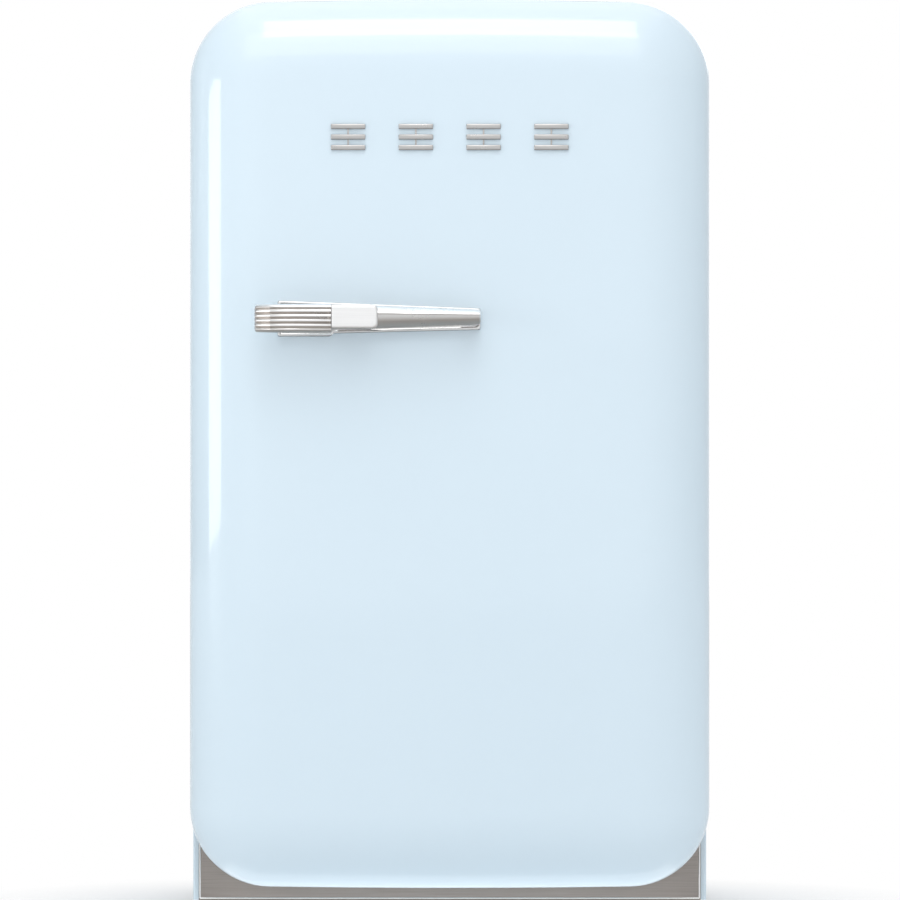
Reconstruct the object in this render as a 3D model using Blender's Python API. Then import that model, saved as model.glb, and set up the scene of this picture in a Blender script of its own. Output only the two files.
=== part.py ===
# One-door compact retro refrigerator with an absorption cooling unit on its back.
# Metres, +Z up. The front faces -Y, the door is hinged on the right (+X), and the feet stand on z = 0.
import math

import bpy
import bmesh
from mathutils import Vector

# ---------------------------------------------------------------- driving dimensions
BODY_WIDTH = 0.402  # painted wrap, outside
DOOR_OVERHANG = 0.001  # door past the wrap on each side
OVERALL_HEIGHT = 0.715  # floor to the top of the door
CABINET_DEPTH = 0.410  # wrap, front to back
DOOR_THICKNESS = 0.070
DOOR_GAP = 0.008  # door back to cabinet front, filled by the gasket
HANDLE_REACH = 0.040  # handle front to door face
SPACER_REACH = 0.012  # wall spacers past the wrap's back
FOOT_HEIGHT = 0.012  # floor to the wrap's lower edge
DOOR_CLEARANCE = 0.022  # floor to the door's lower edge
CABINET_SINK = 0.004  # cabinet top below the door's top
GAP = 0.0003  # between pieces that touch

CORNER_RADIUS = 0.061  # front view, door and wrap
DOOR_BOW = 0.004  # rise of the top and bottom edges over half the width
PILLOW_DEPTH = 0.034  # how far the face stands ahead of the straight side wall
PILLOW_WIDTH = 0.060  # how far in from the edge the face is curved
DOOR_SHEET = 0.002
DOOR_FLANGE = 0.010  # skin folded in at the back

WRAP_SHEET = 0.0015
WRAP_FLANGE = 0.0135
FRAME_SHEET = 0.0015
LINER_WALL = 0.002
SIDE_INSULATION = 0.043  # outside of the wrap to the inside of the liner
TOP_INSULATION = 0.043
REAR_INSULATION = 0.040
CAVITY_DEPTH = 0.280
CAVITY_RADIUS = 0.012
CAVITY_FLOOR = 0.088  # floor to the inside bottom of the liner
BASE_HEIGHT = 0.060  # floor to the top of the base compartment
LEDGE_DEPTH = 0.006
LEDGE_HEIGHT = 0.008

HINGE_INSET = 0.016  # hinge axis in from the door's side
HINGE_SETBACK = 0.015  # hinge axis ahead of the door's back
PIN_RADIUS = 0.003
BUSH_WALL = 0.0017
BUSH_FLANGE = 0.001
BUSH_LENGTH = 0.012
LUG_RADIUS = 0.008
LUG_SHEET = 0.003
POCKET_HEIGHT = 0.050  # hinge pocket, from the door's end
POCKET_SIDE = 0.012  # hinge pocket, in from the axis
POCKET_AHEAD = 0.019  # hinge pocket, ahead of the axis
CUP_WALL = 0.002
CUP_FLOOR = 0.004

GASKET_WIDTH = 0.015
GASKET_OUTSET = 0.003  # gasket outside the cavity opening's liner
GASKET_RADIUS = 0.045
SURROUND_INSET = 0.018  # raised door surround, in from the cavity wall
SURROUND_WIDTH = 0.014
SURROUND_DEPTH = 0.025

GLASS_THICKNESS = 0.004
GLASS_CLEARANCE = 0.0025
SHELF_FRONT_GAP = 0.020  # shelf behind the deepest bin
SHELF_TRIM = 0.010
BIN_WALL = 0.002
BIN_DEPTH = 0.085
UPPER_BIN_HEIGHT = 0.065
LOWER_BIN_HEIGHT = 0.100
RAIL_RADIUS = 0.003
RAIL_LIFT = 0.030  # bottle rail above the lower bin's rim

HANDLE_EDGE = 0.0517  # handle's left end in from the door's side
HANDLE_LENGTH = 0.1743
HANDLE_DROP = 0.2492  # handle's centre line below the door's top
HANDLE_CAP_LENGTH = 0.0592
HANDLE_CAP_HEIGHT = 0.0221
HANDLE_TIP_HEIGHT = 0.0146
HANDLE_BASE = 0.005  # thickness of the base plate
HANDLE_GRIP = 0.018  # thickness of the grip, front to back
RIB_COUNT = 6
RIB_DEPTH = 0.0012

BADGE_DROP = 0.1085
BADGE_WIDTH = 0.184
BADGE_HEIGHT = 0.0203
BADGE_THICKNESS = 0.002
BADGE_GROUPS = 4
BADGE_BAR = 0.0268  # length of each bar

PLINTH_SHEET = 0.0015
PLINTH_STANDOFF = 0.0028  # plinth's back ahead of the cabinet front
PLINTH_SIDE = 0.0045  # plinth's end in from the wrap's side
PAD_RADIUS = 0.013
PAD_HEIGHT = 0.007
STUD_RADIUS = 0.004
STUD_LENGTH = 0.036
FOOT_INSET = 0.024  # foot's axis in from the wrap's side
FOOT_SETBACK = 0.030  # foot's axis in from the wrap's front or back

CONTROL_WIDTH = 0.180
CONTROL_DEPTH = 0.080
CONTROL_HEIGHT = 0.028
KNOB_RADIUS = 0.0115
KNOB_LENGTH = 0.014
EVAPORATOR_WIDTH = 0.200
EVAPORATOR_HEIGHT = 0.060
EVAPORATOR_DEPTH = 0.050
EVAPORATOR_FINS = 11
EVAPORATOR_DROP = 0.034  # top of the fins below the cavity's ceiling
TRAY_DROP = 0.008  # drip tray below the fins

TUBE_RADIUS = 0.008
BOILER_RADIUS = 0.036
BOILER_SHEET = 0.0015
HEATER_RADIUS = 0.006
ABSORBER_RADIUS = 0.026
EXCHANGER_RADIUS = 0.014
COIL_PASSES = 4
FIN_COUNT = 12
FIN_HEIGHT = 0.056
FIN_SHEET = 0.0012
CONDENSER_DROP = 0.050  # condenser below the cabinet's top
PIPE_RISE = 0.014  # evaporator's pipe above the bottom of its fins
RECESS_CLEARANCE = 0.012  # cooling unit off the wrap's sides
TERMINAL_SIZE = (0.066, 0.034, 0.090)

# ---------------------------------------------------------------- what follows from them
DOOR_WIDTH = BODY_WIDTH + 2 * DOOR_OVERHANG
OVERALL_DEPTH = HANDLE_REACH + DOOR_THICKNESS + DOOR_GAP + CABINET_DEPTH + SPACER_REACH
HANDLE_FRONT = -OVERALL_DEPTH / 2
DOOR_FACE = HANDLE_FRONT + HANDLE_REACH
DOOR_BACK = DOOR_FACE + DOOR_THICKNESS
CABINET_FRONT = DOOR_BACK + DOOR_GAP
CABINET_BACK = CABINET_FRONT + CABINET_DEPTH
CABINET_TOP = OVERALL_HEIGHT - CABINET_SINK
BODY_SIDE = BODY_WIDTH / 2
DOOR_SIDE = DOOR_WIDTH / 2
CAVITY_SIDE = BODY_SIDE - SIDE_INSULATION
CAVITY_TOP = CABINET_TOP - TOP_INSULATION
CAVITY_BACK = CABINET_FRONT + CAVITY_DEPTH
REAR_PANEL = CAVITY_BACK + LINER_WALL + REAR_INSULATION
RECESS_FRONT = REAR_PANEL + WRAP_SHEET
RECESS_MIDDLE = (RECESS_FRONT + CABINET_BACK) / 2
FLOOR_SHEET_TOP = BASE_HEIGHT + WRAP_SHEET
HINGE_X = DOOR_SIDE - HINGE_INSET
HINGE_Y = DOOR_BACK - HINGE_SETBACK
UPPER_POCKET = OVERALL_HEIGHT - POCKET_HEIGHT
LOWER_POCKET = DOOR_CLEARANCE + POCKET_HEIGHT
POCKET_LEFT = HINGE_X - POCKET_SIDE
POCKET_FRONT = HINGE_Y - POCKET_AHEAD
SURROUND_SIDE = CAVITY_SIDE - SURROUND_INSET
SURROUND_TOP = CAVITY_TOP - SURROUND_INSET
SURROUND_BOTTOM = CAVITY_FLOOR + SURROUND_INSET
SURROUND_BACK = DOOR_BACK + SURROUND_DEPTH
BIN_SIDE = SURROUND_SIDE - SURROUND_WIDTH - 0.0008
BIN_BACK = DOOR_BACK + GAP + BIN_DEPTH
EVAPORATOR_TOP = CAVITY_TOP - EVAPORATOR_DROP
EVAPORATOR_LOW = EVAPORATOR_TOP - EVAPORATOR_HEIGHT
SHELF_PITCH = (EVAPORATOR_LOW - CAVITY_FLOOR) / 2.72
SHELF_LEVELS = {"lower": CAVITY_FLOOR + SHELF_PITCH, "upper": CAVITY_FLOOR + 2 * SHELF_PITCH}
SHELF_FRONT = BIN_BACK + SHELF_FRONT_GAP
HANDLE_LEFT = -DOOR_SIDE + HANDLE_EDGE
HANDLE_RIGHT = HANDLE_LEFT + HANDLE_LENGTH
HANDLE_Z = OVERALL_HEIGHT - HANDLE_DROP
GRIP_BACK = HANDLE_FRONT + HANDLE_GRIP
CONDENSER_Z = CABINET_TOP - CONDENSER_DROP
BOILER_X = -(BODY_SIDE - RECESS_CLEARANCE - BOILER_RADIUS)
BOILER_LOW = FOOT_HEIGHT + 0.060
BOILER_HIGH = BOILER_LOW + 0.45 * (CONDENSER_Z - BOILER_LOW)
ABSORBER_Z = FOOT_HEIGHT + 0.020 + ABSORBER_RADIUS
ABSORBER_LEFT = BOILER_X + BOILER_RADIUS + 0.040
ABSORBER_RIGHT = BODY_SIDE - RECESS_CLEARANCE
EVAPORATOR_PIPE_X = EVAPORATOR_WIDTH / 4
EVAPORATOR_PIPE_Z = EVAPORATOR_LOW + PIPE_RISE

ROUND = 24  # sides of a round piece
CORNER_STEPS = 6  # segments in a corner arc

# name: (colour, roughness, metallic)
FINISHES = {
    "blue_enamel": ((0.66, 0.82, 0.90), 0.18, 0.0),
    "white_enamel": ((0.86, 0.88, 0.88), 0.35, 0.0),
    "white_plastic": ((0.88, 0.90, 0.90), 0.35, 0.0),
    "foam": ((0.90, 0.82, 0.58), 0.90, 0.0),
    "zinc_steel": ((0.58, 0.60, 0.62), 0.42, 1.0),
    "black_steel": ((0.03, 0.03, 0.032), 0.45, 0.0),
    "satin_steel": ((0.52, 0.52, 0.53), 0.38, 0.9),
    "chrome": ((0.82, 0.82, 0.82), 0.12, 1.0),
    "nickel": ((0.72, 0.71, 0.70), 0.25, 1.0),
    "aluminium": ((0.75, 0.76, 0.77), 0.35, 1.0),
    "rubber": ((0.04, 0.04, 0.04), 0.80, 0.0),
    "gasket": ((0.80, 0.83, 0.84), 0.60, 0.0),
    "glass": ((0.80, 0.92, 0.90), 0.05, 0.0),
    "clear_plastic": ((0.85, 0.92, 0.95), 0.15, 0.0),
    "black_plastic": ((0.03, 0.03, 0.03), 0.50, 0.0),
    "nylon": ((0.90, 0.89, 0.84), 0.45, 0.0),
    "magnet": ((0.20, 0.20, 0.21), 0.50, 0.6),
}


# ---------------------------------------------------------------- modelling helpers
def material(finish):
    made = bpy.data.materials.get(finish)
    if made:
        return made
    colour, roughness, metallic = FINISHES[finish]
    made = bpy.data.materials.new(finish)
    made.use_nodes = True
    shader = made.node_tree.nodes["Principled BSDF"]
    shader.inputs["Base Color"].default_value = (*colour, 1.0)
    shader.inputs["Roughness"].default_value = roughness
    shader.inputs["Metallic"].default_value = metallic
    made.diffuse_color = (*colour, 1.0)
    return made


def add_object(name, bm, finish, smooth=False):
    bmesh.ops.recalc_face_normals(bm, faces=bm.faces)
    mesh = bpy.data.meshes.new(name)
    bm.to_mesh(mesh)
    bm.free()
    if smooth:
        mesh.shade_smooth()
        mesh.set_sharp_from_angle(angle=math.radians(35))
    mesh.materials.append(material(finish))
    obj = bpy.data.objects.new(name, mesh)
    bpy.context.scene.collection.objects.link(obj)
    return obj


def loft(name, rings, finish, closed=False, smooth=True):
    """A solid through rings of equal count: capped at both ends, or closed on itself like a washer."""
    bm = bmesh.new()
    loops = [[bm.verts.new(point) for point in ring] for ring in rings]
    pairs = list(zip(loops, loops[1:]))
    if closed:
        pairs.append((loops[-1], loops[0]))
    for low, high in pairs:
        for i in range(len(low)):
            j = (i + 1) % len(low)
            bm.faces.new((low[i], low[j], high[j], high[i]))
    if not closed:
        bm.faces.new(loops[0])
        bm.faces.new(loops[-1])
    return add_object(name, bm, finish, smooth)


def at_depth(outline, y):
    return [(x, y, z) for x, z in outline]


def prism(name, outline, front, back, finish, smooth=False):
    """An outline of (x, z) points, run from front to back along Y."""
    return loft(name, [at_depth(outline, front), at_depth(outline, back)], finish, smooth=smooth)


def block(name, xs, ys, zs, finish):
    outline = [(xs[0], zs[0]), (xs[1], zs[0]), (xs[1], zs[1]), (xs[0], zs[1])]
    return prism(name, outline, ys[0], ys[1], finish)


def circle(centre, axis, radius, sides=ROUND):
    turn = Vector((0, 0, 1)).rotation_difference(Vector(axis))
    points = []
    for i in range(sides):
        angle = 2 * math.pi * i / sides
        points.append(Vector(centre) + turn @ Vector((radius * math.cos(angle), radius * math.sin(angle), 0)))
    return points


def turned(name, base, axis, profile, finish, closed=False, sides=ROUND):
    """A round piece: profile is (radius, distance along the axis from base)."""
    direction = Vector(axis).normalized()
    rings = [circle(Vector(base) + direction * along, axis, radius, sides) for radius, along in profile]
    return loft(name, rings, finish, closed=closed)


def tube(name, points, radius, finish, sides=4):
    """A round tube along points already smooth enough to follow."""
    curve = bpy.data.curves.new(name, "CURVE")
    curve.dimensions = "3D"
    curve.bevel_depth = radius
    curve.bevel_resolution = sides // 2
    curve.use_fill_caps = True
    spline = curve.splines.new("POLY")
    spline.points.add(len(points) - 1)
    for spot, point in zip(spline.points, points):
        spot.co = (*point, 1.0)
    curve.materials.append(material(finish))
    obj = bpy.data.objects.new(name, curve)
    bpy.context.scene.collection.objects.link(obj)
    return obj


def bent_path(corners, radius, steps=5):
    """Straight runs joined by round bends of the given radius."""
    corners = [Vector(corner) for corner in corners]
    path = [corners[0]]
    for before, here, after in zip(corners, corners[1:], corners[2:]):
        incoming = (before - here).normalized()
        outgoing = (after - here).normalized()
        half = incoming.angle(outgoing) / 2
        reach = radius / math.tan(half)
        centre = here + (incoming + outgoing).normalized() * (radius / math.sin(half))
        start = here + incoming * reach - centre
        end = here + outgoing * reach - centre
        sweep = start.angle(end)
        for i in range(steps + 1):
            share = i / steps
            mix = start * math.sin((1 - share) * sweep) + end * math.sin(share * sweep)
            path.append(centre + mix / math.sin(sweep))
    path.append(corners[-1])
    return path


def boolean(target, other, operation):
    modifier = target.modifiers.new(operation.title() + "_" + other.name, "BOOLEAN")
    modifier.object = other
    modifier.operation = operation
    modifier.solver = "EXACT"
    other.hide_render = True
    other.display_type = "WIRE"
    return target


def cut(target, *cutters):
    for cutter in cutters:
        boolean(target, cutter, "DIFFERENCE")
    return target


def join(target, *others):
    for other in others:
        boolean(target, other, "UNION")
    return target


def rounded_outline(side, bottom, top, radius_top, radius_bottom=None, steps=CORNER_STEPS):
    """A rounded rectangle about x = 0, as (x, z) points with the same count for every radius."""
    radius_bottom = radius_top if radius_bottom is None else radius_bottom
    corners = [
        (side - radius_top, top - radius_top, radius_top, 0),
        (-side + radius_top, top - radius_top, radius_top, 90),
        (-side + radius_bottom, bottom + radius_bottom, radius_bottom, 180),
        (side - radius_bottom, bottom + radius_bottom, radius_bottom, 270),
    ]
    points = []
    for x, z, radius, start in corners:
        for i in range(steps + 1):
            angle = math.radians(start + 90 * i / steps)
            points.append((x + radius * math.cos(angle), z + radius * math.sin(angle)))
    return points


def arch_path(side, bottom, top, radius, steps=CORNER_STEPS + 2):
    """An upside-down U, open at the bottom, from the right foot over the top to the left foot."""
    points = [(side, bottom)]
    for x, start in ((side - radius, 0), (-side + radius, 90)):
        for i in range(steps + 1):
            angle = math.radians(start + 90 * i / steps)
            points.append((x + radius * math.cos(angle), top - radius + radius * math.sin(angle)))
    points.append((-side, bottom))
    return points


def arch_sheet(side, bottom, top, radius, thickness):
    outer = arch_path(side, bottom, top, radius)
    inner = arch_path(side - thickness, bottom, top - thickness, radius - thickness)
    return outer + inner[::-1]


def pivot(name, place):
    empty = bpy.data.objects.new(name, None)
    empty.location = place
    empty.empty_display_size = 0.02
    bpy.context.scene.collection.objects.link(empty)
    return empty


def ride(parent, *objects):
    """Parents pieces to a joint's empty without moving them."""
    bpy.context.view_layer.update()
    for obj in objects:
        obj.parent = parent
        obj.matrix_parent_inverse = parent.matrix_world.inverted()


# ---------------------------------------------------------------- door outline
def door_outline(inset):
    """The door's front outline, moved in, with its bowed top and bottom edges."""
    radius = max(CORNER_RADIUS - inset, 0.006)
    side = DOOR_SIDE - inset
    top = OVERALL_HEIGHT - inset
    bottom = DOOR_CLEARANCE + inset
    corners = rounded_outline(side, bottom, top, radius)
    steps = CORNER_STEPS + 1
    straight = side - radius
    middles = [straight * share for share in (0.5, 0.0, -0.5)]
    upper = [(x, top) for x in middles]
    lower = [(-x, bottom) for x in middles]
    points = corners[:steps] + upper + corners[steps:3 * steps] + lower + corners[3 * steps:]
    bowed = []
    for x, z in points:
        drop = DOOR_BOW * (x / DOOR_SIDE) ** 2
        middle = (OVERALL_HEIGHT + DOOR_CLEARANCE) / 2
        bowed.append((x, z - drop if z > middle else z + drop))
    return bowed


def pillow_rings(offset, steps=7):
    """Rings of the pillow-shaped front, moved in by offset, from the side wall to the face."""
    rings = []
    for i in range(steps + 1):
        angle = math.radians(90 * i / steps)
        across = math.cos(angle) / PILLOW_WIDTH
        ahead = math.sin(angle) / PILLOW_DEPTH
        length = math.hypot(across, ahead)
        inset = PILLOW_WIDTH * (1 - math.cos(angle)) + offset * across / length
        depth = PILLOW_DEPTH * math.sin(angle) - offset * ahead / length
        y = DOOR_FACE + PILLOW_DEPTH - depth
        rings.append(at_depth(door_outline(inset), y))
    return rings


def pocket_boxes(name):
    """The two corner pockets that the hinge lugs sit in."""
    xs = (POCKET_LEFT, DOOR_SIDE + 0.02)
    ys = (POCKET_FRONT, DOOR_BACK + SURROUND_DEPTH / 2)
    upper = block(name + "_upper_pocket", xs, ys, (UPPER_POCKET, OVERALL_HEIGHT + 0.02), "zinc_steel")
    lower = block(name + "_lower_pocket", xs, ys, (DOOR_CLEARANCE - 0.02, LOWER_POCKET), "zinc_steel")
    return upper, lower


# ---------------------------------------------------------------- cabinet
def make_cabinet_shell():
    wrap = prism(
        "cabinet_wrap",
        arch_sheet(BODY_SIDE, FOOT_HEIGHT, CABINET_TOP, CORNER_RADIUS, WRAP_FLANGE),
        CABINET_FRONT, CABINET_BACK, "blue_enamel", smooth=True,
    )
    hollow = prism(
        "wrap_hollow",
        arch_sheet(BODY_SIDE - WRAP_SHEET, FOOT_HEIGHT - 0.01, CABINET_TOP - WRAP_SHEET,
                   CORNER_RADIUS - WRAP_SHEET, WRAP_FLANGE + 0.01),
        CABINET_FRONT + WRAP_SHEET, CABINET_BACK + 0.01, "blue_enamel",
    )
    cut(wrap, hollow)

    frame_side = BODY_SIDE - WRAP_FLANGE - GAP
    frame_top = CABINET_TOP - WRAP_FLANGE - GAP
    frame_low = BASE_HEIGHT + GAP
    opening = LINER_WALL + GAP
    outer = rounded_outline(frame_side, frame_low, frame_top, CORNER_RADIUS - WRAP_FLANGE, 0.002)
    inner = rounded_outline(CAVITY_SIDE + opening, CAVITY_FLOOR - opening, CAVITY_TOP + opening,
                            CAVITY_RADIUS + opening)
    back = CABINET_FRONT + FRAME_SHEET
    rings = [at_depth(outer, CABINET_FRONT), at_depth(inner, CABINET_FRONT), at_depth(inner, back),
             at_depth(outer, back)]
    loft("front_frame", rings, "white_enamel", closed=True, smooth=False)


def make_liner():
    outer = rounded_outline(CAVITY_SIDE + LINER_WALL, CAVITY_FLOOR - LINER_WALL, CAVITY_TOP + LINER_WALL,
                            CAVITY_RADIUS + LINER_WALL)
    inner = rounded_outline(CAVITY_SIDE, CAVITY_FLOOR, CAVITY_TOP, CAVITY_RADIUS)
    back = CAVITY_BACK + LINER_WALL
    liner = prism("cabinet_liner", outer, CABINET_FRONT, back, "white_plastic", smooth=True)
    cut(liner, prism("liner_hollow", inner, CABINET_FRONT - 0.01, CAVITY_BACK, "white_plastic"))
    for level, height in SHELF_LEVELS.items():
        for side, sign in (("left", -1), ("right", 1)):
            xs = sorted((sign * (CAVITY_SIDE + LINER_WALL / 2), sign * (CAVITY_SIDE - LEDGE_DEPTH)))
            ys = (SHELF_FRONT - 0.012, CAVITY_BACK + LINER_WALL / 2)
            zs = (height - LEDGE_HEIGHT, height - GAP)
            join(liner, block(f"{level}_{side}_ledge", xs, ys, zs, "white_plastic"))
    return liner


def pipe_hole(name, clearance):
    base = (EVAPORATOR_PIPE_X, CAVITY_BACK - 0.02, EVAPORATOR_PIPE_Z)
    reach = REAR_INSULATION + 0.05
    return turned(name, base, (0, 1, 0), [(TUBE_RADIUS + clearance, 0), (TUBE_RADIUS + clearance, reach)],
                  "zinc_steel", sides=16)


def make_insulation(liner):
    inset = WRAP_SHEET + GAP
    foam_front = CABINET_FRONT + WRAP_SHEET + GAP
    foam = prism(
        "cabinet_foam",
        rounded_outline(BODY_SIDE - inset, FLOOR_SHEET_TOP + GAP, CABINET_TOP - inset,
                        CORNER_RADIUS - inset, 0.002),
        foam_front, REAR_PANEL - GAP, "foam",
    )
    space = LINER_WALL + GAP
    hollow = prism(
        "foam_hollow",
        rounded_outline(CAVITY_SIDE + space, CAVITY_FLOOR - space, CAVITY_TOP + space, CAVITY_RADIUS + space),
        foam_front - 0.01, CAVITY_BACK + space, "foam",
    )
    cut(foam, hollow, pipe_hole("foam_pipe_hole", 0.0005))
    cut(liner, pipe_hole("liner_pipe_hole", 0.0005))

    panel = prism(
        "rear_panel",
        rounded_outline(BODY_SIDE - inset, FLOOR_SHEET_TOP + GAP, CABINET_TOP - inset,
                        CORNER_RADIUS - inset, 0.002),
        REAR_PANEL, RECESS_FRONT, "zinc_steel",
    )
    cut(panel, pipe_hole("panel_pipe_hole", 0.0005))


def make_base():
    inner = BODY_SIDE - WRAP_SHEET - GAP
    block("cabinet_floor", (-inner, inner), (CABINET_FRONT + WRAP_SHEET + GAP, RECESS_FRONT),
          (BASE_HEIGHT, FLOOR_SHEET_TOP), "zinc_steel")
    for side, sign in (("left", -1), ("right", 1)):
        outer = sign * inner
        web = sign * (inner - WRAP_SHEET)
        lip = sign * (inner - 2 * FOOT_INSET)
        low = FOOT_HEIGHT
        high = BASE_HEIGHT - GAP
        outline = [
            (outer, low), (lip, low), (lip, low + WRAP_SHEET), (web, low + WRAP_SHEET),
            (web, high - WRAP_SHEET), (lip, high - WRAP_SHEET), (lip, high), (outer, high),
        ]
        front = CABINET_FRONT + WRAP_SHEET + GAP
        rail = prism(f"base_rail_{side}", outline, front, RECESS_FRONT, "zinc_steel")
        foot_x = sign * (BODY_SIDE - FOOT_INSET)
        front_y = CABINET_FRONT + FOOT_SETBACK
        cut(rail, turned(f"{side}_stud_hole", (foot_x, front_y, 0), (0, 0, 1),
                         [(STUD_RADIUS + 0.0006, 0), (STUD_RADIUS + 0.0006, BASE_HEIGHT / 2)],
                         "zinc_steel", sides=16))
        make_front_foot(side, foot_x, front_y)
        turned(f"rear_foot_{side}", (foot_x, RECESS_FRONT - FOOT_SETBACK, 0), (0, 0, 1),
               [(PAD_RADIUS * 0.8, 0), (PAD_RADIUS, 0.002), (PAD_RADIUS, FOOT_HEIGHT - GAP)], "rubber")
    make_plinth()


def make_front_foot(side, x, y):
    turned(f"front_foot_pad_{side}", (x, y, 0), (0, 0, 1),
           [(PAD_RADIUS - 0.001, 0), (PAD_RADIUS, 0.001), (PAD_RADIUS, PAD_HEIGHT * 0.6),
            (PAD_RADIUS * 0.65, PAD_HEIGHT)], "rubber")
    nut = 0.0065
    collar = FOOT_HEIGHT - 2 * GAP
    stud = turned(f"front_foot_stud_{side}", (x, y, 0), (0, 0, 1),
                  [(nut, PAD_HEIGHT + GAP), (nut, collar - 0.0002), (STUD_RADIUS, collar),
                   (STUD_RADIUS, PAD_HEIGHT + STUD_LENGTH)], "zinc_steel", sides=12)
    ride(pivot(f"foot_axis_{side}", (x, y, 0)), stud)


def make_plinth():
    side = BODY_SIDE - PLINTH_SIDE
    back = CABINET_FRONT - PLINTH_STANDOFF
    front = back - PLINTH_SHEET
    low = FOOT_HEIGHT - 0.0015
    top = BASE_HEIGHT
    profile = [
        (front, low), (front, top), (back, top), (back, low + PLINTH_SHEET),
        (back + 0.010, low + PLINTH_SHEET), (back + 0.010, 0.0030), (back + 0.010 - PLINTH_SHEET, 0.0030),
        (back + 0.010 - PLINTH_SHEET, low),
    ]
    ends = [[(x, y, z) for y, z in profile] for x in (-side, side)]
    return loft("plinth", ends, "satin_steel", smooth=False)


# ---------------------------------------------------------------- hinges
def make_hinge(where, lug_low, foot_range, pin_down):
    """A lug that stands ahead of the cabinet, its foot on the cabinet front, and its pin."""
    lug_high = lug_low + LUG_SHEET
    plate_back = CABINET_FRONT - GAP
    plate_front = plate_back - 0.0022
    sides = []
    for i in range(13):
        angle = math.pi + math.pi * i / 12
        sides.append((HINGE_X + LUG_RADIUS * math.cos(angle), HINGE_Y + LUG_RADIUS * math.sin(angle)))
    outline = [(HINGE_X - LUG_RADIUS, plate_back)] + sides + [(HINGE_X + LUG_RADIUS, plate_back)]
    rings = [[(x, y, z) for x, y in outline] for z in (lug_low, lug_high)]
    bracket = loft(f"{where}_hinge_bracket", rings, "chrome", smooth=False)
    foot = block(f"{where}_hinge_foot", (HINGE_X - LUG_RADIUS, HINGE_X + LUG_RADIUS),
                 (plate_front, plate_back), foot_range, "chrome")
    join(bracket, foot)
    hole = [(PIN_RADIUS + GAP, lug_low - 0.005), (PIN_RADIUS + GAP, lug_high + 0.005)]
    cut(bracket, turned(f"{where}_hinge_hole", (HINGE_X, HINGE_Y, 0), (0, 0, 1), hole, "chrome"))
    head = PIN_RADIUS + 0.002
    depth = LUG_SHEET + GAP + BUSH_FLANGE + BUSH_LENGTH
    base = lug_high + GAP if pin_down else lug_low - GAP
    direction = (0, 0, -1) if pin_down else (0, 0, 1)
    turned(f"{where}_hinge_pin", (HINGE_X, HINGE_Y, base), direction,
           [(head, -0.002), (head, 0), (PIN_RADIUS, 0), (PIN_RADIUS, depth - 0.001),
            (PIN_RADIUS - 0.001, depth)], "zinc_steel")


def make_hinges():
    upper_lug = UPPER_POCKET + GAP + CUP_FLOOR + GAP + BUSH_FLANGE + GAP
    corner_top = CABINET_TOP - CORNER_RADIUS
    corner_side = BODY_SIDE - CORNER_RADIUS
    reach = HINGE_X + LUG_RADIUS - corner_side
    foot_top = corner_top + math.sqrt(max(CORNER_RADIUS ** 2 - reach ** 2, 0)) - 0.001
    foot_top = max(foot_top, upper_lug + LUG_SHEET)
    make_hinge("upper", upper_lug, (upper_lug, foot_top), True)
    lower_lug = LOWER_POCKET - GAP - CUP_FLOOR - GAP - BUSH_FLANGE - GAP - LUG_SHEET
    make_hinge("lower", lower_lug, (lower_lug - 0.030, lower_lug + LUG_SHEET), False)


# ---------------------------------------------------------------- inside the cabinet
def make_shelves():
    for level, height in SHELF_LEVELS.items():
        side = CAVITY_SIDE - GLASS_CLEARANCE
        trim_back = SHELF_FRONT + SHELF_TRIM
        outline = [
            (SHELF_FRONT, height - 0.004), (trim_back, height - 0.004), (trim_back, height - GAP),
            (SHELF_FRONT + 0.003, height - GAP), (SHELF_FRONT + 0.003, height + GLASS_THICKNESS + GAP),
            (trim_back, height + GLASS_THICKNESS + GAP), (trim_back, height + GLASS_THICKNESS + 0.002),
            (SHELF_FRONT, height + GLASS_THICKNESS + 0.002),
        ]
        trim_side = CAVITY_SIDE - LEDGE_DEPTH - 0.001
        ends = [[(x, y, z) for y, z in outline] for x in (-trim_side, trim_side)]
        loft(f"{level}_shelf_trim", ends, "chrome", smooth=False)
        block(f"{level}_shelf_glass", (-side, side), (SHELF_FRONT + 0.003 + GAP, CAVITY_BACK - 0.004),
              (height, height + GLASS_THICKNESS), "glass")


def make_evaporator():
    side = EVAPORATOR_WIDTH / 2
    back = CAVITY_BACK - GAP
    front = back - EVAPORATOR_DEPTH
    root = back - 0.012
    fin = 0.0025
    pitch = (EVAPORATOR_WIDTH - fin) / (EVAPORATOR_FINS - 1)
    outline = [(side, back), (-side, back)]
    for i in range(EVAPORATOR_FINS):
        left = -side + i * pitch
        if i:
            outline.append((left, root))
        outline.extend([(left, front), (left + fin, front)])
        if i < EVAPORATOR_FINS - 1:
            outline.append((left + fin, root))
    rings = [[(x, y, z) for x, y in outline] for z in (EVAPORATOR_LOW, EVAPORATOR_TOP)]
    loft("evaporator_fins", rings, "aluminium", smooth=False)

    tray_top = EVAPORATOR_LOW - TRAY_DROP
    tray = block("drip_tray", (-side - 0.006, side + 0.006), (front - 0.008, back),
                 (tray_top - 0.014, tray_top), "white_plastic")
    cut(tray, block("tray_hollow", (-side - 0.004, side + 0.004), (front - 0.006, back - 0.002),
                    (tray_top - 0.012, tray_top + 0.01), "white_plastic"))


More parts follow.
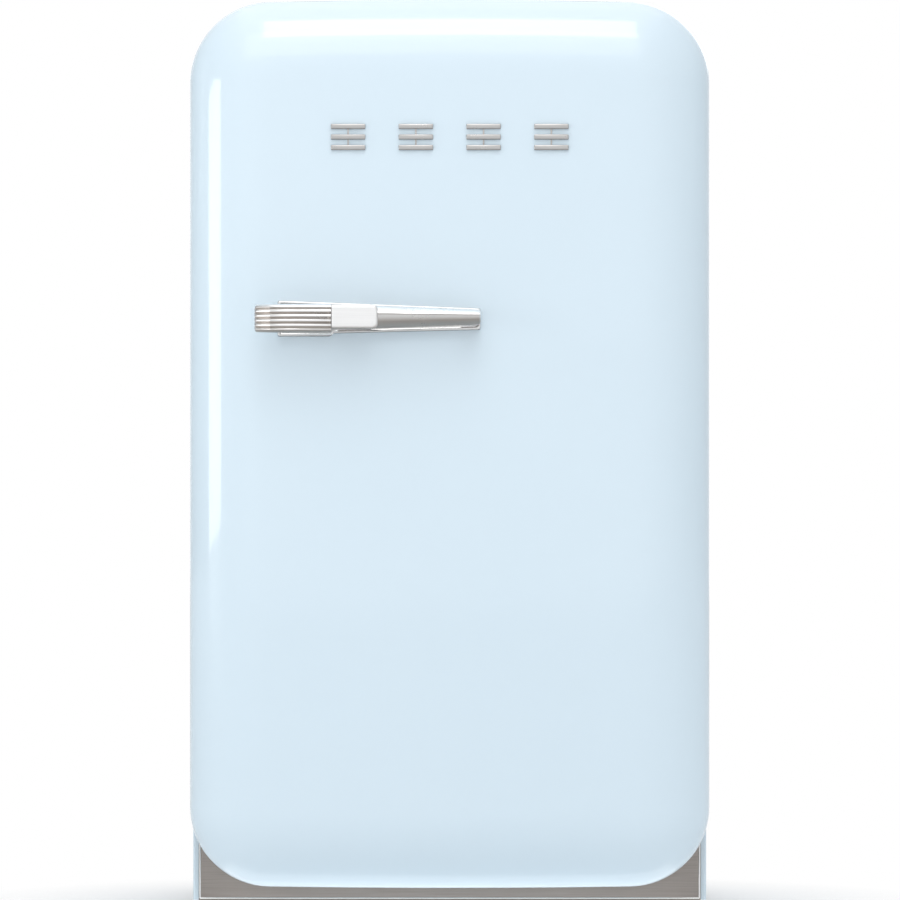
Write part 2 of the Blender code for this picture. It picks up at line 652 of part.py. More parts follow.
def make_control():
    side = CONTROL_WIDTH / 2
    front = CABINET_FRONT + 0.064
    back = front + CONTROL_DEPTH
    low = CAVITY_TOP - CONTROL_HEIGHT
    top = CAVITY_TOP - GAP
    housing = block("control_housing", (-side, side), (front, back), (low, top), "white_plastic")
    cut(housing, block("control_hollow", (-side + 0.002, side - 0.002), (front + 0.002, back - 0.002),
                       (low + 0.002, top + 0.01), "white_plastic"))
    lens_x = (-side + 0.015, side - 0.080)
    lens_y = (front + 0.012, back - 0.012)
    cut(housing, block("lens_hole", lens_x, lens_y, (low - 0.01, low + 0.01), "white_plastic"))
    inner_x = (lens_x[0] + GAP, lens_x[1] - GAP)
    inner_y = (lens_y[0] + GAP, lens_y[1] - GAP)
    block("lamp_lens", inner_x, inner_y, (low - 0.002, low + 0.004), "clear_plastic")

    knob_x = side - 0.040
    knob_z = (low + top) / 2
    shaft = 0.003
    cut(housing, turned("shaft_hole", (knob_x, front - 0.01, knob_z), (0, 1, 0),
                        [(shaft + 0.001, 0), (shaft + 0.001, 0.015)], "white_plastic", sides=16))
    body = block("thermostat_body", (knob_x - 0.016, knob_x + 0.016), (front + 0.002 + GAP, front + 0.034),
                 (low + 0.002 + GAP, top - 0.001), "zinc_steel")
    cut(body, turned("socket_hole", (knob_x, front - 0.01, knob_z), (0, 1, 0),
                     [(shaft + 0.0005, 0), (shaft + 0.0005, 0.024)], "zinc_steel", sides=16))
    knob = turned("thermostat_knob", (knob_x, front - GAP, knob_z), (0, -1, 0),
                  [(shaft, -0.010), (shaft, 0), (KNOB_RADIUS, 0), (KNOB_RADIUS, KNOB_LENGTH * 0.4),
                   (KNOB_RADIUS * 0.86, KNOB_LENGTH * 0.9), (KNOB_RADIUS * 0.78, KNOB_LENGTH)],
                  "black_plastic")
    ride(pivot("knob_axis", (knob_x, front, knob_z)), knob)

    switch_x = CAVITY_SIDE * 0.55
    switch_low = CAVITY_TOP + LINER_WALL + 2 * GAP
    block("door_switch", (switch_x - 0.008, switch_x + 0.008),
          (CABINET_FRONT + FRAME_SHEET + GAP + 0.0004, CABINET_FRONT + 0.014),
          (switch_low + 0.004, switch_low + 0.012), "black_plastic")
    cut(bpy.data.objects["cabinet_foam"],
        block("switch_hole", (switch_x - 0.0085, switch_x + 0.0085),
              (CABINET_FRONT - 0.01, CABINET_FRONT + 0.0145),
              (switch_low + 0.0035, switch_low + 0.0125), "foam"))


# ---------------------------------------------------------------- cooling unit
def make_cooling_unit():
    y = RECESS_MIDDLE
    turned("boiler_casing", (BOILER_X, y, BOILER_LOW), (0, 0, 1),
           [(BOILER_RADIUS - BOILER_SHEET, 0), (BOILER_RADIUS, 0), (BOILER_RADIUS, BOILER_HIGH - BOILER_LOW),
            (BOILER_RADIUS - BOILER_SHEET, BOILER_HIGH - BOILER_LOW)], "zinc_steel", closed=True)
    wool = turned("boiler_insulation", (BOILER_X, y, BOILER_LOW + 0.002), (0, 0, 1),
                  [(BOILER_RADIUS - BOILER_SHEET - GAP, 0),
                   (BOILER_RADIUS - BOILER_SHEET - GAP, BOILER_HIGH - BOILER_LOW - 0.004)], "foam")
    tall = BOILER_HIGH - BOILER_LOW + 0.1
    cut(wool, turned("rising_bore", (BOILER_X, y, BOILER_LOW - 0.05), (0, 0, 1),
                     [(TUBE_RADIUS + 0.0005, 0), (TUBE_RADIUS + 0.0005, tall)], "foam", sides=16))
    heater_x = BOILER_X + TUBE_RADIUS + HEATER_RADIUS + 0.004
    cut(wool, turned("heater_bore", (heater_x, y, BOILER_LOW - 0.05), (0, 0, 1),
                     [(HEATER_RADIUS + 0.0005, 0), (HEATER_RADIUS + 0.0005, tall)], "foam", sides=16))
    turned("heater_cartridge", (heater_x, y, BOILER_LOW + 0.012), (0, 0, 1),
           [(HEATER_RADIUS, 0), (HEATER_RADIUS, BOILER_HIGH - BOILER_LOW)], "zinc_steel", sides=16)

    bend = 0.020
    condenser_left = BOILER_X + 2 * bend
    tube("rising_tube", bent_path([(BOILER_X, y, BOILER_LOW + 0.006), (BOILER_X, y, CONDENSER_Z),
                                   (condenser_left - GAP, y, CONDENSER_Z)], bend), TUBE_RADIUS, "black_steel")
    condenser_right = BODY_SIDE - RECESS_CLEARANCE - TUBE_RADIUS - bend
    exchanger_x = EVAPORATOR_PIPE_X
    tube("condenser_tube", bent_path([(condenser_left, y, CONDENSER_Z), (condenser_right, y, CONDENSER_Z),
                                      (condenser_right, y, EVAPORATOR_PIPE_Z),
                                      (exchanger_x + EXCHANGER_RADIUS + GAP, y, EVAPORATOR_PIPE_Z)],
                                     bend), TUBE_RADIUS, "black_steel")
    make_condenser_fins(condenser_left + 0.012, condenser_right - bend - 0.012, y)

    exchanger_top = EVAPORATOR_PIPE_Z + EXCHANGER_RADIUS + 0.006
    exchanger_low = ABSORBER_Z + 0.62 * (EVAPORATOR_PIPE_Z - ABSORBER_Z)
    turned("gas_heat_exchanger", (exchanger_x, y, exchanger_low), (0, 0, 1),
           [(EXCHANGER_RADIUS * 0.7, 0), (EXCHANGER_RADIUS, 0.006),
            (EXCHANGER_RADIUS, exchanger_top - exchanger_low - 0.006),
            (EXCHANGER_RADIUS * 0.7, exchanger_top - exchanger_low)], "black_steel")
    pipe_length = y - EXCHANGER_RADIUS - GAP - CAVITY_BACK
    turned("evaporator_tube", (exchanger_x, CAVITY_BACK, EVAPORATOR_PIPE_Z), (0, 1, 0),
           [(TUBE_RADIUS, 0), (TUBE_RADIUS, pipe_length)], "black_steel", sides=16)

    turned("absorber_vessel", (ABSORBER_LEFT, y, ABSORBER_Z), (1, 0, 0),
           [(ABSORBER_RADIUS * 0.6, 0), (ABSORBER_RADIUS, 0.010),
            (ABSORBER_RADIUS, ABSORBER_RIGHT - ABSORBER_LEFT - 0.010),
            (ABSORBER_RADIUS * 0.6, ABSORBER_RIGHT - ABSORBER_LEFT)], "black_steel")
    make_absorber_coil(y, exchanger_x, exchanger_low)
    make_terminal_box()


def make_condenser_fins(left, right, y):
    """A comb of fins on one web, bored for the condenser tube."""
    half_depth = 0.026
    web = 0.002
    pitch = (right - left - FIN_SHEET) / (FIN_COUNT - 1)
    outline = [(right, y + half_depth), (left, y + half_depth)]
    for i in range(FIN_COUNT):
        x = left + i * pitch
        if i:
            outline.append((x, y + half_depth - web))
        outline.extend([(x, y - half_depth), (x + FIN_SHEET, y - half_depth)])
        if i < FIN_COUNT - 1:
            outline.append((x + FIN_SHEET, y + half_depth - web))
    low = CONDENSER_Z - FIN_HEIGHT / 2
    rings = [[(x, depth, z) for x, depth in outline] for z in (low, low + FIN_HEIGHT)]
    fins = loft("condenser_fins", rings, "aluminium", smooth=False)
    bore = TUBE_RADIUS + GAP
    cut(fins, turned("fin_bore", (left - 0.01, y, CONDENSER_Z), (1, 0, 0),
                     [(bore, 0), (bore, right - left + 0.02)], "aluminium", sides=12))


def make_absorber_coil(y, exchanger_x, exchanger_low):
    start_z = ABSORBER_Z + ABSORBER_RADIUS + GAP
    end_z = exchanger_low - GAP
    left = ABSORBER_LEFT + TUBE_RADIUS
    right = BODY_SIDE - RECESS_CLEARANCE - TUBE_RADIUS
    pitch = (end_z - start_z) / (COIL_PASSES + 1.5)
    corners = [(right - 0.018, y, start_z), (right - 0.018, y, start_z + pitch * 0.75)]
    heights = [start_z + pitch * (i + 0.75) for i in range(COIL_PASSES + 1)]
    for i, z in enumerate(heights[:-1]):
        turn_x = left if i % 2 == 0 else right
        corners.extend([(turn_x, y, z), (turn_x, y, heights[i + 1])])
    corners.extend([(exchanger_x, y, heights[-1]), (exchanger_x, y, end_z)])
    bend = min(pitch * 0.4, 0.018)
    tube("absorber_coil", bent_path(corners, bend, steps=4), TUBE_RADIUS * 0.9, "black_steel")


def make_terminal_box():
    width, depth, height = TERMINAL_SIZE
    right = EVAPORATOR_PIPE_X - EXCHANGER_RADIUS - 0.012
    xs = (right - width, right)
    front = RECESS_FRONT + GAP
    top = EVAPORATOR_PIPE_Z + 0.012
    zs = (top - height, top)
    wall = 0.002
    box = block("terminal_box", xs, (front, front + depth), zs, "black_plastic")
    cut(box, block("terminal_hollow", (xs[0] + wall, xs[1] - wall), (front + wall, front + depth + 0.01),
                   (zs[0] + wall, zs[1] - wall), "black_plastic"))
    block("terminal_cover", xs, (front + depth + GAP, front + depth + GAP + 0.003), zs, "black_plastic")
    gland_x = (xs[0] + xs[1]) / 2
    turned("cord_gland", (gland_x, front + depth / 2, zs[0] - GAP), (0, 0, -1),
           [(0.004, 0), (0.0085, 0), (0.0085, 0.008), (0.0065, 0.020), (0.004, 0.020)], "black_plastic",
           closed=True)


def make_spacer_bar():
    """A bar that ties the wrap's sides together at the back, with a foot at each end against the wall."""
    side = BODY_SIDE - WRAP_SHEET - GAP
    middle = CABINET_TOP - CORNER_RADIUS - 0.060
    back = CABINET_BACK + SPACER_REACH
    foot = 0.030
    outline = [(-side, back), (-side, CABINET_BACK - 0.010), (side, CABINET_BACK - 0.010), (side, back),
               (side - foot, back), (side - foot, CABINET_BACK), (-side + foot, CABINET_BACK),
               (-side + foot, back)]
    rings = [[(x, y, z) for x, y in outline] for z in (middle - 0.011, middle + 0.011)]
    return loft("spacer_bar", rings, "black_plastic", smooth=False)


# ---------------------------------------------------------------- door
def make_door():
    axis = pivot("door_axis", (HINGE_X, HINGE_Y, 0))
    back_lip = DOOR_BACK - 0.002
    outer = [at_depth(door_outline(DOOR_FLANGE), DOOR_BACK), at_depth(door_outline(0.002), DOOR_BACK),
             at_depth(door_outline(0), back_lip)] + pillow_rings(0)
    inner = [at_depth(door_outline(DOOR_FLANGE), DOOR_BACK - DOOR_SHEET),
             at_depth(door_outline(DOOR_SHEET), DOOR_BACK - DOOR_SHEET)] + pillow_rings(DOOR_SHEET)
    skin = loft("door_skin", inner[::-1] + outer, "blue_enamel")
    cut(skin, *pocket_boxes("skin"))

    inset = DOOR_SHEET + GAP
    foam_back = DOOR_BACK - DOOR_SHEET - GAP
    foam = loft("door_foam", [at_depth(door_outline(inset), foam_back)] + pillow_rings(inset), "foam")
    liner = make_door_liner(foam, foam_back)
    cut(foam, *pocket_boxes("foam"))
    pieces = [skin, foam, liner]
    pieces += make_hinge_cups(foam, liner)
    pieces += make_gasket()
    pieces += make_handle()
    pieces.append(make_badge())
    ride(axis, *pieces)
    make_bins(axis)


def surround_outline(inset):
    return rounded_outline(SURROUND_SIDE - inset, SURROUND_BOTTOM + inset, SURROUND_TOP - inset,
                           0.020 - inset)


def surround_ring(name, wall, front, back, finish):
    """The raised surround on the back of the door, moved in on all sides by wall."""
    outer = surround_outline(wall)
    inner = surround_outline(SURROUND_WIDTH - wall)
    rings = [at_depth(outer, front), at_depth(outer, back), at_depth(inner, back), at_depth(inner, front)]
    return loft(name, rings, finish, closed=True)


def make_door_liner(foam, foam_back):
    liner = prism("door_liner", door_outline(DOOR_FLANGE + GAP), DOOR_BACK - LINER_WALL, DOOR_BACK,
                  "white_plastic")
    raised = surround_ring("surround", 0, DOOR_BACK - LINER_WALL / 2, SURROUND_BACK, "white_plastic")
    hollow = surround_ring("surround_hollow", LINER_WALL, DOOR_BACK - 0.01, SURROUND_BACK - LINER_WALL,
                           "foam")
    cut(join(liner, raised), hollow)
    filling = surround_ring("surround_filling", LINER_WALL + GAP, foam_back - 0.002,
                            SURROUND_BACK - LINER_WALL - GAP, "foam")
    join(foam, filling)
    cut(liner, *pocket_boxes("liner"))
    return liner


def make_hinge_cups(foam, liner):
    """Moulded corner cups that line the hinge pockets, with the nylon bushes that the pins turn in."""
    pieces = []
    back = DOOR_BACK
    xs = (POCKET_LEFT + GAP, DOOR_SIDE + 0.02)
    ys = (POCKET_FRONT + GAP, back)
    for where, low, high, direction in (
        ("upper", UPPER_POCKET + GAP, OVERALL_HEIGHT + 0.02, 1),
        ("lower", DOOR_CLEARANCE - 0.02, LOWER_POCKET - GAP, -1),
    ):
        cup = prism(f"{where}_hinge_cup", door_outline(0), ys[0], back, "white_plastic")
        keep = block(f"{where}_cup_bounds", xs, (ys[0] - 0.01, back + 0.01), (low, high), "white_plastic")
        boolean(cup, keep, "INTERSECT")
        floor = low if direction > 0 else high
        inside = floor + direction * CUP_FLOOR
        room = (inside, high + 0.01) if direction > 0 else (low - 0.01, inside)
        cut(cup, block(f"{where}_cup_room", (xs[0] + CUP_WALL, xs[1] + 0.01), (ys[0] + CUP_WALL, back + 0.02),
                       room, "white_plastic"))
        barrel = PIN_RADIUS + GAP + BUSH_WALL
        start = inside + direction * GAP
        hole = [(barrel + GAP, -0.01), (barrel + GAP, BUSH_LENGTH + 0.002)]
        down = (0, 0, -direction)
        cut(cup, turned(f"{where}_cup_hole", (HINGE_X, HINGE_Y, start), down, hole, "white_plastic"))
        cut(foam, turned(f"{where}_foam_hole", (HINGE_X, HINGE_Y, start), down, hole, "foam"))
        bore = PIN_RADIUS + GAP
        pieces.append(turned(f"{where}_hinge_bush", (HINGE_X, HINGE_Y, start), down,
                             [(bore, -BUSH_FLANGE), (barrel + 0.002, -BUSH_FLANGE), (barrel + 0.002, 0),
                              (barrel, 0), (barrel, BUSH_LENGTH), (bore, BUSH_LENGTH)], "nylon", closed=True))
        pieces.append(cup)
    return pieces


def make_gasket():
    front = DOOR_BACK + GAP
    back = CABINET_FRONT - GAP
    side = CAVITY_SIDE + GASKET_OUTSET + GASKET_WIDTH
    top = CAVITY_TOP + GASKET_OUTSET + GASKET_WIDTH + 0.004
    bottom = CAVITY_FLOOR - GASKET_OUTSET - GASKET_WIDTH - 0.003
    outer = rounded_outline(side, bottom, top, GASKET_RADIUS)
    inner = rounded_outline(side - GASKET_WIDTH, bottom + GASKET_WIDTH, top - GASKET_WIDTH,
                            GASKET_RADIUS - GASKET_WIDTH)
    rings = [at_depth(outer, front), at_depth(inner, front), at_depth(inner, back), at_depth(outer, back)]
    gasket = loft("door_gasket", rings, "gasket", closed=True)
    switch_x = CAVITY_SIDE * 0.55
    magnet_low = SURROUND_TOP + 0.003
    magnet = block("switch_magnet", (switch_x - 0.010, switch_x + 0.010), (front, front + 0.003),
                   (magnet_low, magnet_low + 0.006), "magnet")
    return [gasket, magnet]


def make_bins(axis):
    front = DOOR_BACK + GAP
    upper_low = SHELF_LEVELS["upper"] + 0.030
    for name, low, height in (
        ("upper", upper_low, UPPER_BIN_HEIGHT),
        ("lower", SURROUND_BOTTOM + SURROUND_WIDTH + 0.004, LOWER_BIN_HEIGHT),
    ):
        tray = block(f"{name}_door_bin", (-BIN_SIDE, BIN_SIDE), (front, BIN_BACK), (low, low + height),
                     "clear_plastic")
        cut(tray, block(f"{name}_bin_hollow", (-BIN_SIDE + BIN_WALL, BIN_SIDE - BIN_WALL),
                        (front + BIN_WALL, BIN_BACK - BIN_WALL), (low + BIN_WALL, low + height + 0.01),
                        "clear_plastic"))
        ride(axis, tray)
    rail_z = SURROUND_BOTTOM + SURROUND_WIDTH + 0.004 + LOWER_BIN_HEIGHT + RAIL_LIFT
    rail_y = BIN_BACK - 0.010
    reach = BIN_SIDE - RAIL_RADIUS
    rail = tube("bottle_rail", bent_path([(-reach, front + 0.004, rail_z), (-reach, rail_y, rail_z),
                                          (reach, rail_y, rail_z), (reach, front + 0.004, rail_z)], 0.008),
                RAIL_RADIUS, "chrome")
    ride(axis, rail)


def make_handle():
    face = DOOR_FACE - GAP
    plate_front = face - HANDLE_BASE
    cap_right = HANDLE_LEFT + HANDLE_CAP_LENGTH
    half = HANDLE_CAP_HEIGHT / 2
    tip = HANDLE_TIP_HEIGHT / 2
    left = HANDLE_LEFT + 0.017
    outline = [(left, HANDLE_Z - half - 0.0022), (cap_right, HANDLE_Z - half - 0.0022),
               (cap_right + 0.006, HANDLE_Z - half + 0.001), (HANDLE_RIGHT, HANDLE_Z - tip),
               (HANDLE_RIGHT, HANDLE_Z + tip), (left, HANDLE_Z + half + 0.0022)]
    base = prism("handle_base", outline, plate_front, face, "chrome")
    post_front = GRIP_BACK + GAP
    for name, xs in (("inner", (cap_right + 0.004, cap_right + 0.030)),
                     ("outer", (HANDLE_RIGHT - 0.016, HANDLE_RIGHT - 0.002))):
        join(base, block(f"handle_{name}_post", xs, (post_front, plate_front + 0.002),
                         (HANDLE_Z - tip + 0.002, HANDLE_Z + tip - 0.002), "chrome"))
    rings = []
    start = cap_right + GAP
    for x, height, depth in ((start, half, HANDLE_GRIP), (start + 0.034, half - 0.0008, HANDLE_GRIP),
                             (HANDLE_RIGHT - 0.004, tip, HANDLE_GRIP * 0.78),
                             (HANDLE_RIGHT, tip - 0.0015, HANDLE_GRIP * 0.66)):
        rings.append(grip_ring(x, height, depth))
    grip = loft("handle_grip", rings, "nickel")
    return [base, grip, make_handle_cap(cap_right, half)]


def grip_ring(x, half, depth):
    """A D-shaped section of the grip: flat at the back, rounded at the front."""
    points = [(x, GRIP_BACK, HANDLE_Z - half * 0.8), (x, GRIP_BACK, HANDLE_Z + half * 0.8)]
    for i in range(9):
        angle = math.radians(90 - 22.5 * i)
        reach = abs(math.cos(angle)) ** 0.7
        lift = math.copysign(abs(math.sin(angle)) ** 0.9, math.sin(angle))
        points.append((x, GRIP_BACK - 0.003 - (depth - 0.003) * reach, HANDLE_Z + half * lift))
    return points


def make_handle_cap(cap_right, half):
    """The ribbed sleeve on the grip's free end."""
    steps = RIB_COUNT * 4
    rings = []
    for x, shrink in ((HANDLE_LEFT, 0.0022), (HANDLE_LEFT + 0.003, 0.0006), (HANDLE_LEFT + 0.006, 0),
                      (cap_right, 0)):
        points = [(x, GRIP_BACK, HANDLE_Z - half + shrink), (x, GRIP_BACK, HANDLE_Z + half - shrink)]
        for i in range(steps + 1):
            share = i / steps
            z = HANDLE_Z + (half - shrink) * (1 - 2 * share)
            bulge = math.sqrt(max(1 - (1 - 2 * share) ** 4, 0))
            groove = RIB_DEPTH * math.cos(share * RIB_COUNT * math.pi) ** 2
            depth = 0.008 + (HANDLE_GRIP - 0.008 - shrink) * bulge - groove
            points.append((x, GRIP_BACK - max(depth, 0.004), z))
        rings.append(points)
    return loft("handle_cap", rings, "nickel", smooth=False)


def make_badge():
    """A plain ornament: groups of three short level bars, tied together by a spine each and one slim rail."""
    back = DOOR_FACE - GAP
    front = back - BADGE_THICKNESS
    rail_front = back - BADGE_THICKNESS * 0.3
    middle = OVERALL_HEIGHT - BADGE_DROP
    side = BADGE_WIDTH / 2
    half_bar = BADGE_BAR / 2
    badge = block("badge", (-side + half_bar, side - half_bar), (rail_front, back),
                  (middle - 0.0006, middle + 0.0006), "chrome")
    pitch = (BADGE_WIDTH - BADGE_BAR) / (BADGE_GROUPS - 1)
    stroke = BADGE_HEIGHT / 5
    for group in range(BADGE_GROUPS):
        x = -side + half_bar + group * pitch
        half_spine = BADGE_BAR / 8
        spine = block(f"badge_spine_{group}", (x - half_spine, x + half_spine), (rail_front - 0.0002, back),
                      (middle - BADGE_HEIGHT / 2 + 0.001, middle + BADGE_HEIGHT / 2 - 0.001), "chrome")
        join(badge, spine)
        for row in (-1, 0, 1):
            z = middle + row * (BADGE_HEIGHT - stroke) / 2
            half = stroke / 2
            outline = [(x + half_bar * dx, z + half * dz) for dx, dz in
                       ((-1, -0.4), (-0.94, -1), (0.94, -1), (1, -0.4), (1, 0.4), (0.94, 1), (-0.94, 1),
                        (-1, 0.4))]
            join(badge, prism(f"badge_bar_{group}_{row}", outline, front, back - 0.0001, "chrome"))
    return badge


def main():
    for obj in list(bpy.data.objects):
        bpy.data.objects.remove(obj)
    make_cabinet_shell()
    liner = make_liner()
    make_insulation(liner)
    make_base()
    make_hinges()
    make_shelves()
    make_evaporator()
    make_control()
    make_cooling_unit()
    make_spacer_bar()
    make_door()
    print("nodes:", sum(1 for obj in bpy.data.objects if obj.type != "EMPTY" and not obj.hide_render))


main()
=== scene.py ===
import math
import bmesh
import bpy
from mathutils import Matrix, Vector


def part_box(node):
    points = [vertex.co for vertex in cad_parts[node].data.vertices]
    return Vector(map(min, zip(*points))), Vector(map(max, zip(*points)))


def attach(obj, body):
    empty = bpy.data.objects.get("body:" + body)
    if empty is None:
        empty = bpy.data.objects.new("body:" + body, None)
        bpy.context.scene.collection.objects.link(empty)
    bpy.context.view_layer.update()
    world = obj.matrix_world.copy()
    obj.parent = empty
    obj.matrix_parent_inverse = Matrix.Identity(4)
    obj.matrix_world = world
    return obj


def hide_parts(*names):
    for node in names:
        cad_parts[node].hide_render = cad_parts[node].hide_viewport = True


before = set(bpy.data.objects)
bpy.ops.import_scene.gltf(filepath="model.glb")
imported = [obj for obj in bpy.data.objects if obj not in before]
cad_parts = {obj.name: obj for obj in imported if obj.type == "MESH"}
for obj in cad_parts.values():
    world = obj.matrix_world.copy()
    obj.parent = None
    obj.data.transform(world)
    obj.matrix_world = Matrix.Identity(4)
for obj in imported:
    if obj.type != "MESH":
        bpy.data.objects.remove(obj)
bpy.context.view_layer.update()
doorLow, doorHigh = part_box("door_skin")
wrapLow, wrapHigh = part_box("cabinet_wrap")
linerLow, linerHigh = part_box("cabinet_liner")
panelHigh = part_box("rear_panel")[1]
hingeX = sum(corner.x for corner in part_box("upper_hinge_bracket")) / 2
hingeY = sum(corner.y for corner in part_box("upper_hinge_bush")) / 2
gap = 0.0003  # between parts that touch


# mesh tools: outlines, lofts and the step that turns a mesh into a piece
def link(bm, name, sharpAngle=35):
    bmesh.ops.remove_doubles(bm, verts=bm.verts, dist=1e-6)
    bmesh.ops.recalc_face_normals(bm, faces=bm.faces)
    mesh = bpy.data.meshes.new(name)
    bm.to_mesh(mesh)
    bm.free()
    mesh.shade_smooth()
    mesh.set_sharp_from_angle(angle=math.radians(sharpAngle))
    made = bpy.data.objects.new(name, mesh)
    bpy.context.scene.collection.objects.link(made)
    return made


def finishPiece(name, bm, look, *nodes, body="cabinet", sharpAngle=35):
    made = link(bm, name, sharpAngle)
    made.data.materials.append(finish(look))
    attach(made, body)
    if nodes:
        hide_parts(*nodes)
    return made


def dress(node, look):
    # a CAD node whose shape is right keeps its mesh and gets the finish
    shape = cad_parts[node]
    shape.data.materials.clear()
    shape.data.materials.append(finish(look))


def middleOf(node):
    low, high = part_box(node)
    return (low + high) / 2


def addLoft(bm, rings, closed=False, capStart=True, capEnd=True):
    loops = [[bm.verts.new(point) for point in ring] for ring in rings]
    pairs = list(zip(loops, loops[1:]))
    if closed:
        pairs.append((loops[-1], loops[0]))
    for low, high in pairs:
        for i in range(len(low)):
            j = (i + 1) % len(low)
            bm.faces.new((low[i], low[j], high[j], high[i]))
    if not closed and capStart:
        bm.faces.new(loops[0])
    if not closed and capEnd:
        bm.faces.new(loops[-1])
    return loops


def addBlock(bm, low, high, bevel=0.0008, segments=3):
    xs, ys, zs = zip(low, high)
    corners = [bm.verts.new((x, y, z)) for z in zs for y in ys for x in xs]
    quads = ((0, 1, 3, 2), (4, 6, 7, 5), (0, 4, 5, 1), (2, 3, 7, 6), (0, 2, 6, 4), (1, 5, 7, 3))
    faces = [bm.faces.new([corners[i] for i in quad]) for quad in quads]
    edges = list({edge for face in faces for edge in face.edges})
    if bevel:
        bmesh.ops.bevel(bm, geom=edges, offset=bevel, segments=segments, profile=0.5, affect="EDGES")


def addSideBlocks(bm, outer, inner, low, high, bevel):
    # the same block at the left and at the right; low and high hold y and z
    for sign in (-1, 1):
        left, right = sorted((sign * outer, sign * inner))
        addBlock(bm, (left, *low), (right, *high), bevel)


def circleAt(centre, axis, radius, sides):
    turn = Vector((0, 0, 1)).rotation_difference(Vector(axis))
    spots = []
    for i in range(sides):
        angle = math.tau * i / sides
        spots.append(Vector(centre) + turn @ Vector((radius * math.cos(angle), radius * math.sin(angle), 0)))
    return spots


def addTurned(bm, base, axis, profile, sides=40, closed=False):
    direction = Vector(axis).normalized()
    rings = [circleAt(Vector(base) + direction * along, axis, radius, sides) for radius, along in profile]
    addLoft(bm, rings, closed=closed)


def addExtrusion(bm, profile, stations):
    addLoft(bm, [[(x, y, z) for y, z in profile] for x in stations])


def addTube(bm, path, radius, sides=20):
    path = [Vector(point) for point in path]
    ahead = (path[1] - path[0]).normalized()
    across = ahead.orthogonal().normalized()
    rings = []
    for i, point in enumerate(path):
        before = path[max(i - 1, 0)]
        after = path[min(i + 1, len(path) - 1)]
        tangent = (after - before).normalized()
        across = (across - tangent * across.dot(tangent)).normalized()
        upward = tangent.cross(across)
        ring = []
        for k in range(sides):
            angle = math.tau * k / sides
            ring.append(point + across * (radius * math.cos(angle)) + upward * (radius * math.sin(angle)))
        rings.append(ring)
    addLoft(bm, rings)


def bentPath(corners, radius, steps=10):
    corners = [Vector(corner) for corner in corners]
    path = [corners[0]]
    for before, here, after in zip(corners, corners[1:], corners[2:]):
        incoming = (before - here).normalized()
        outgoing = (after - here).normalized()
        half = incoming.angle(outgoing) / 2
        centre = here + (incoming + outgoing).normalized() * (radius / math.sin(half))
        start = here + incoming * (radius / math.tan(half)) - centre
        end = here + outgoing * (radius / math.tan(half)) - centre
        sweep = start.angle(end)
        for i in range(steps + 1):
            share = i / steps
            mix = start * math.sin((1 - share) * sweep) + end * math.sin(share * sweep)
            path.append(centre + mix / math.sin(sweep))
    path.append(corners[-1])
    return path


def arc(x, z, radius, start, steps, sweep=90):
    angles = [math.radians(start + sweep * i / steps) for i in range(steps + 1)]
    return [(x + radius * math.cos(angle), z + radius * math.sin(angle)) for angle in angles]


def quarterRound(steps):
    # for a unit radius: how far across is left and how far along is done, at each step
    return [(1 - up, 1 - across) for across, up in arc(0, 0, 1, 0, steps)]


def roundedOutline(side, bottom, top, radius, lowRadius=None, steps=10, splits=0, bow=0.0, lowBow=0.0):
    lowRadius = radius if lowRadius is None else lowRadius
    corners = ((side - radius, top - radius, radius, 0), (radius - side, top - radius, radius, 90),
               (lowRadius - side, bottom + lowRadius, lowRadius, 180),
               (side - lowRadius, bottom + lowRadius, lowRadius, 270))
    points = []
    for x, z, bend, start in corners:
        points += arc(x, z, bend, start, steps)
        if start in (0, 180):
            level = bottom if start else top
            points += [(x * (1 - 2 * i / (splits + 1)), level) for i in range(1, splits + 1)]
    if not bow:
        return points
    middle = (doorLow.z + doorHigh.z) / 2
    bent = []
    for x, z in points:
        share = (x / doorHigh.x) ** 2
        bent.append((x, z - bow * share if z > middle else z + bow - lowBow * (1 - share)))
    return bent


def planRing(low, high, inset, z, wide, tight, steps):
    # a level outline, with one corner radius at its back and another at its front
    front, back, side = low.y + inset, high.y - inset, high.x - inset
    outline = arc(side - wide, back - wide, wide, 0, steps) + arc(wide - side, back - wide, wide, 90, steps)
    outline += arc(tight - side, front + tight, tight, 180, steps)
    outline += arc(side - tight, front + tight, tight, 270, steps)
    return [(x, y, z) for x, y in outline]


def atDepth(outline, y):
    return [(x, y, z) for x, z in outline]


def addScrew(bm, place, axis, radius=0.0038, height=0.0016):
    direction = Vector(axis).normalized()
    turn = Vector((0, 0, 1)).rotation_difference(direction)
    profile = [(radius, 0), (radius, height * 0.25), (radius * 0.86, height * 0.7), (radius * 0.55, height)]
    addTurned(bm, place, axis, profile, sides=24)
    slot = []
    for along in (height * 1.001, height * 0.55):
        ring = []
        for i in range(8):
            angle = math.tau * i / 8
            reach = radius * (0.48 if i % 2 == 0 else 0.13)
            flat = Vector((reach * math.cos(angle), reach * math.sin(angle), along))
            ring.append(Vector(place) + turn @ flat)
        slot.append(ring)
    addLoft(bm, slot, capStart=False)


def carve(target, *boxes):
    for low, high in boxes:
        bm = bmesh.new()
        addBlock(bm, low, high, bevel=0.003)
        cutter = link(bm, "cutter")
        modifier = target.modifiers.new("carve", "BOOLEAN")
        modifier.object = cutter
        modifier.operation = "DIFFERENCE"
        modifier.solver = "EXACT"
        graph = bpy.context.evaluated_depsgraph_get()
        mesh = bpy.data.meshes.new_from_object(target.evaluated_get(graph))
        target.modifiers.clear()
        target.data = mesh
        bpy.data.objects.remove(cutter)
    target.data.set_sharp_from_angle(angle=math.radians(35))


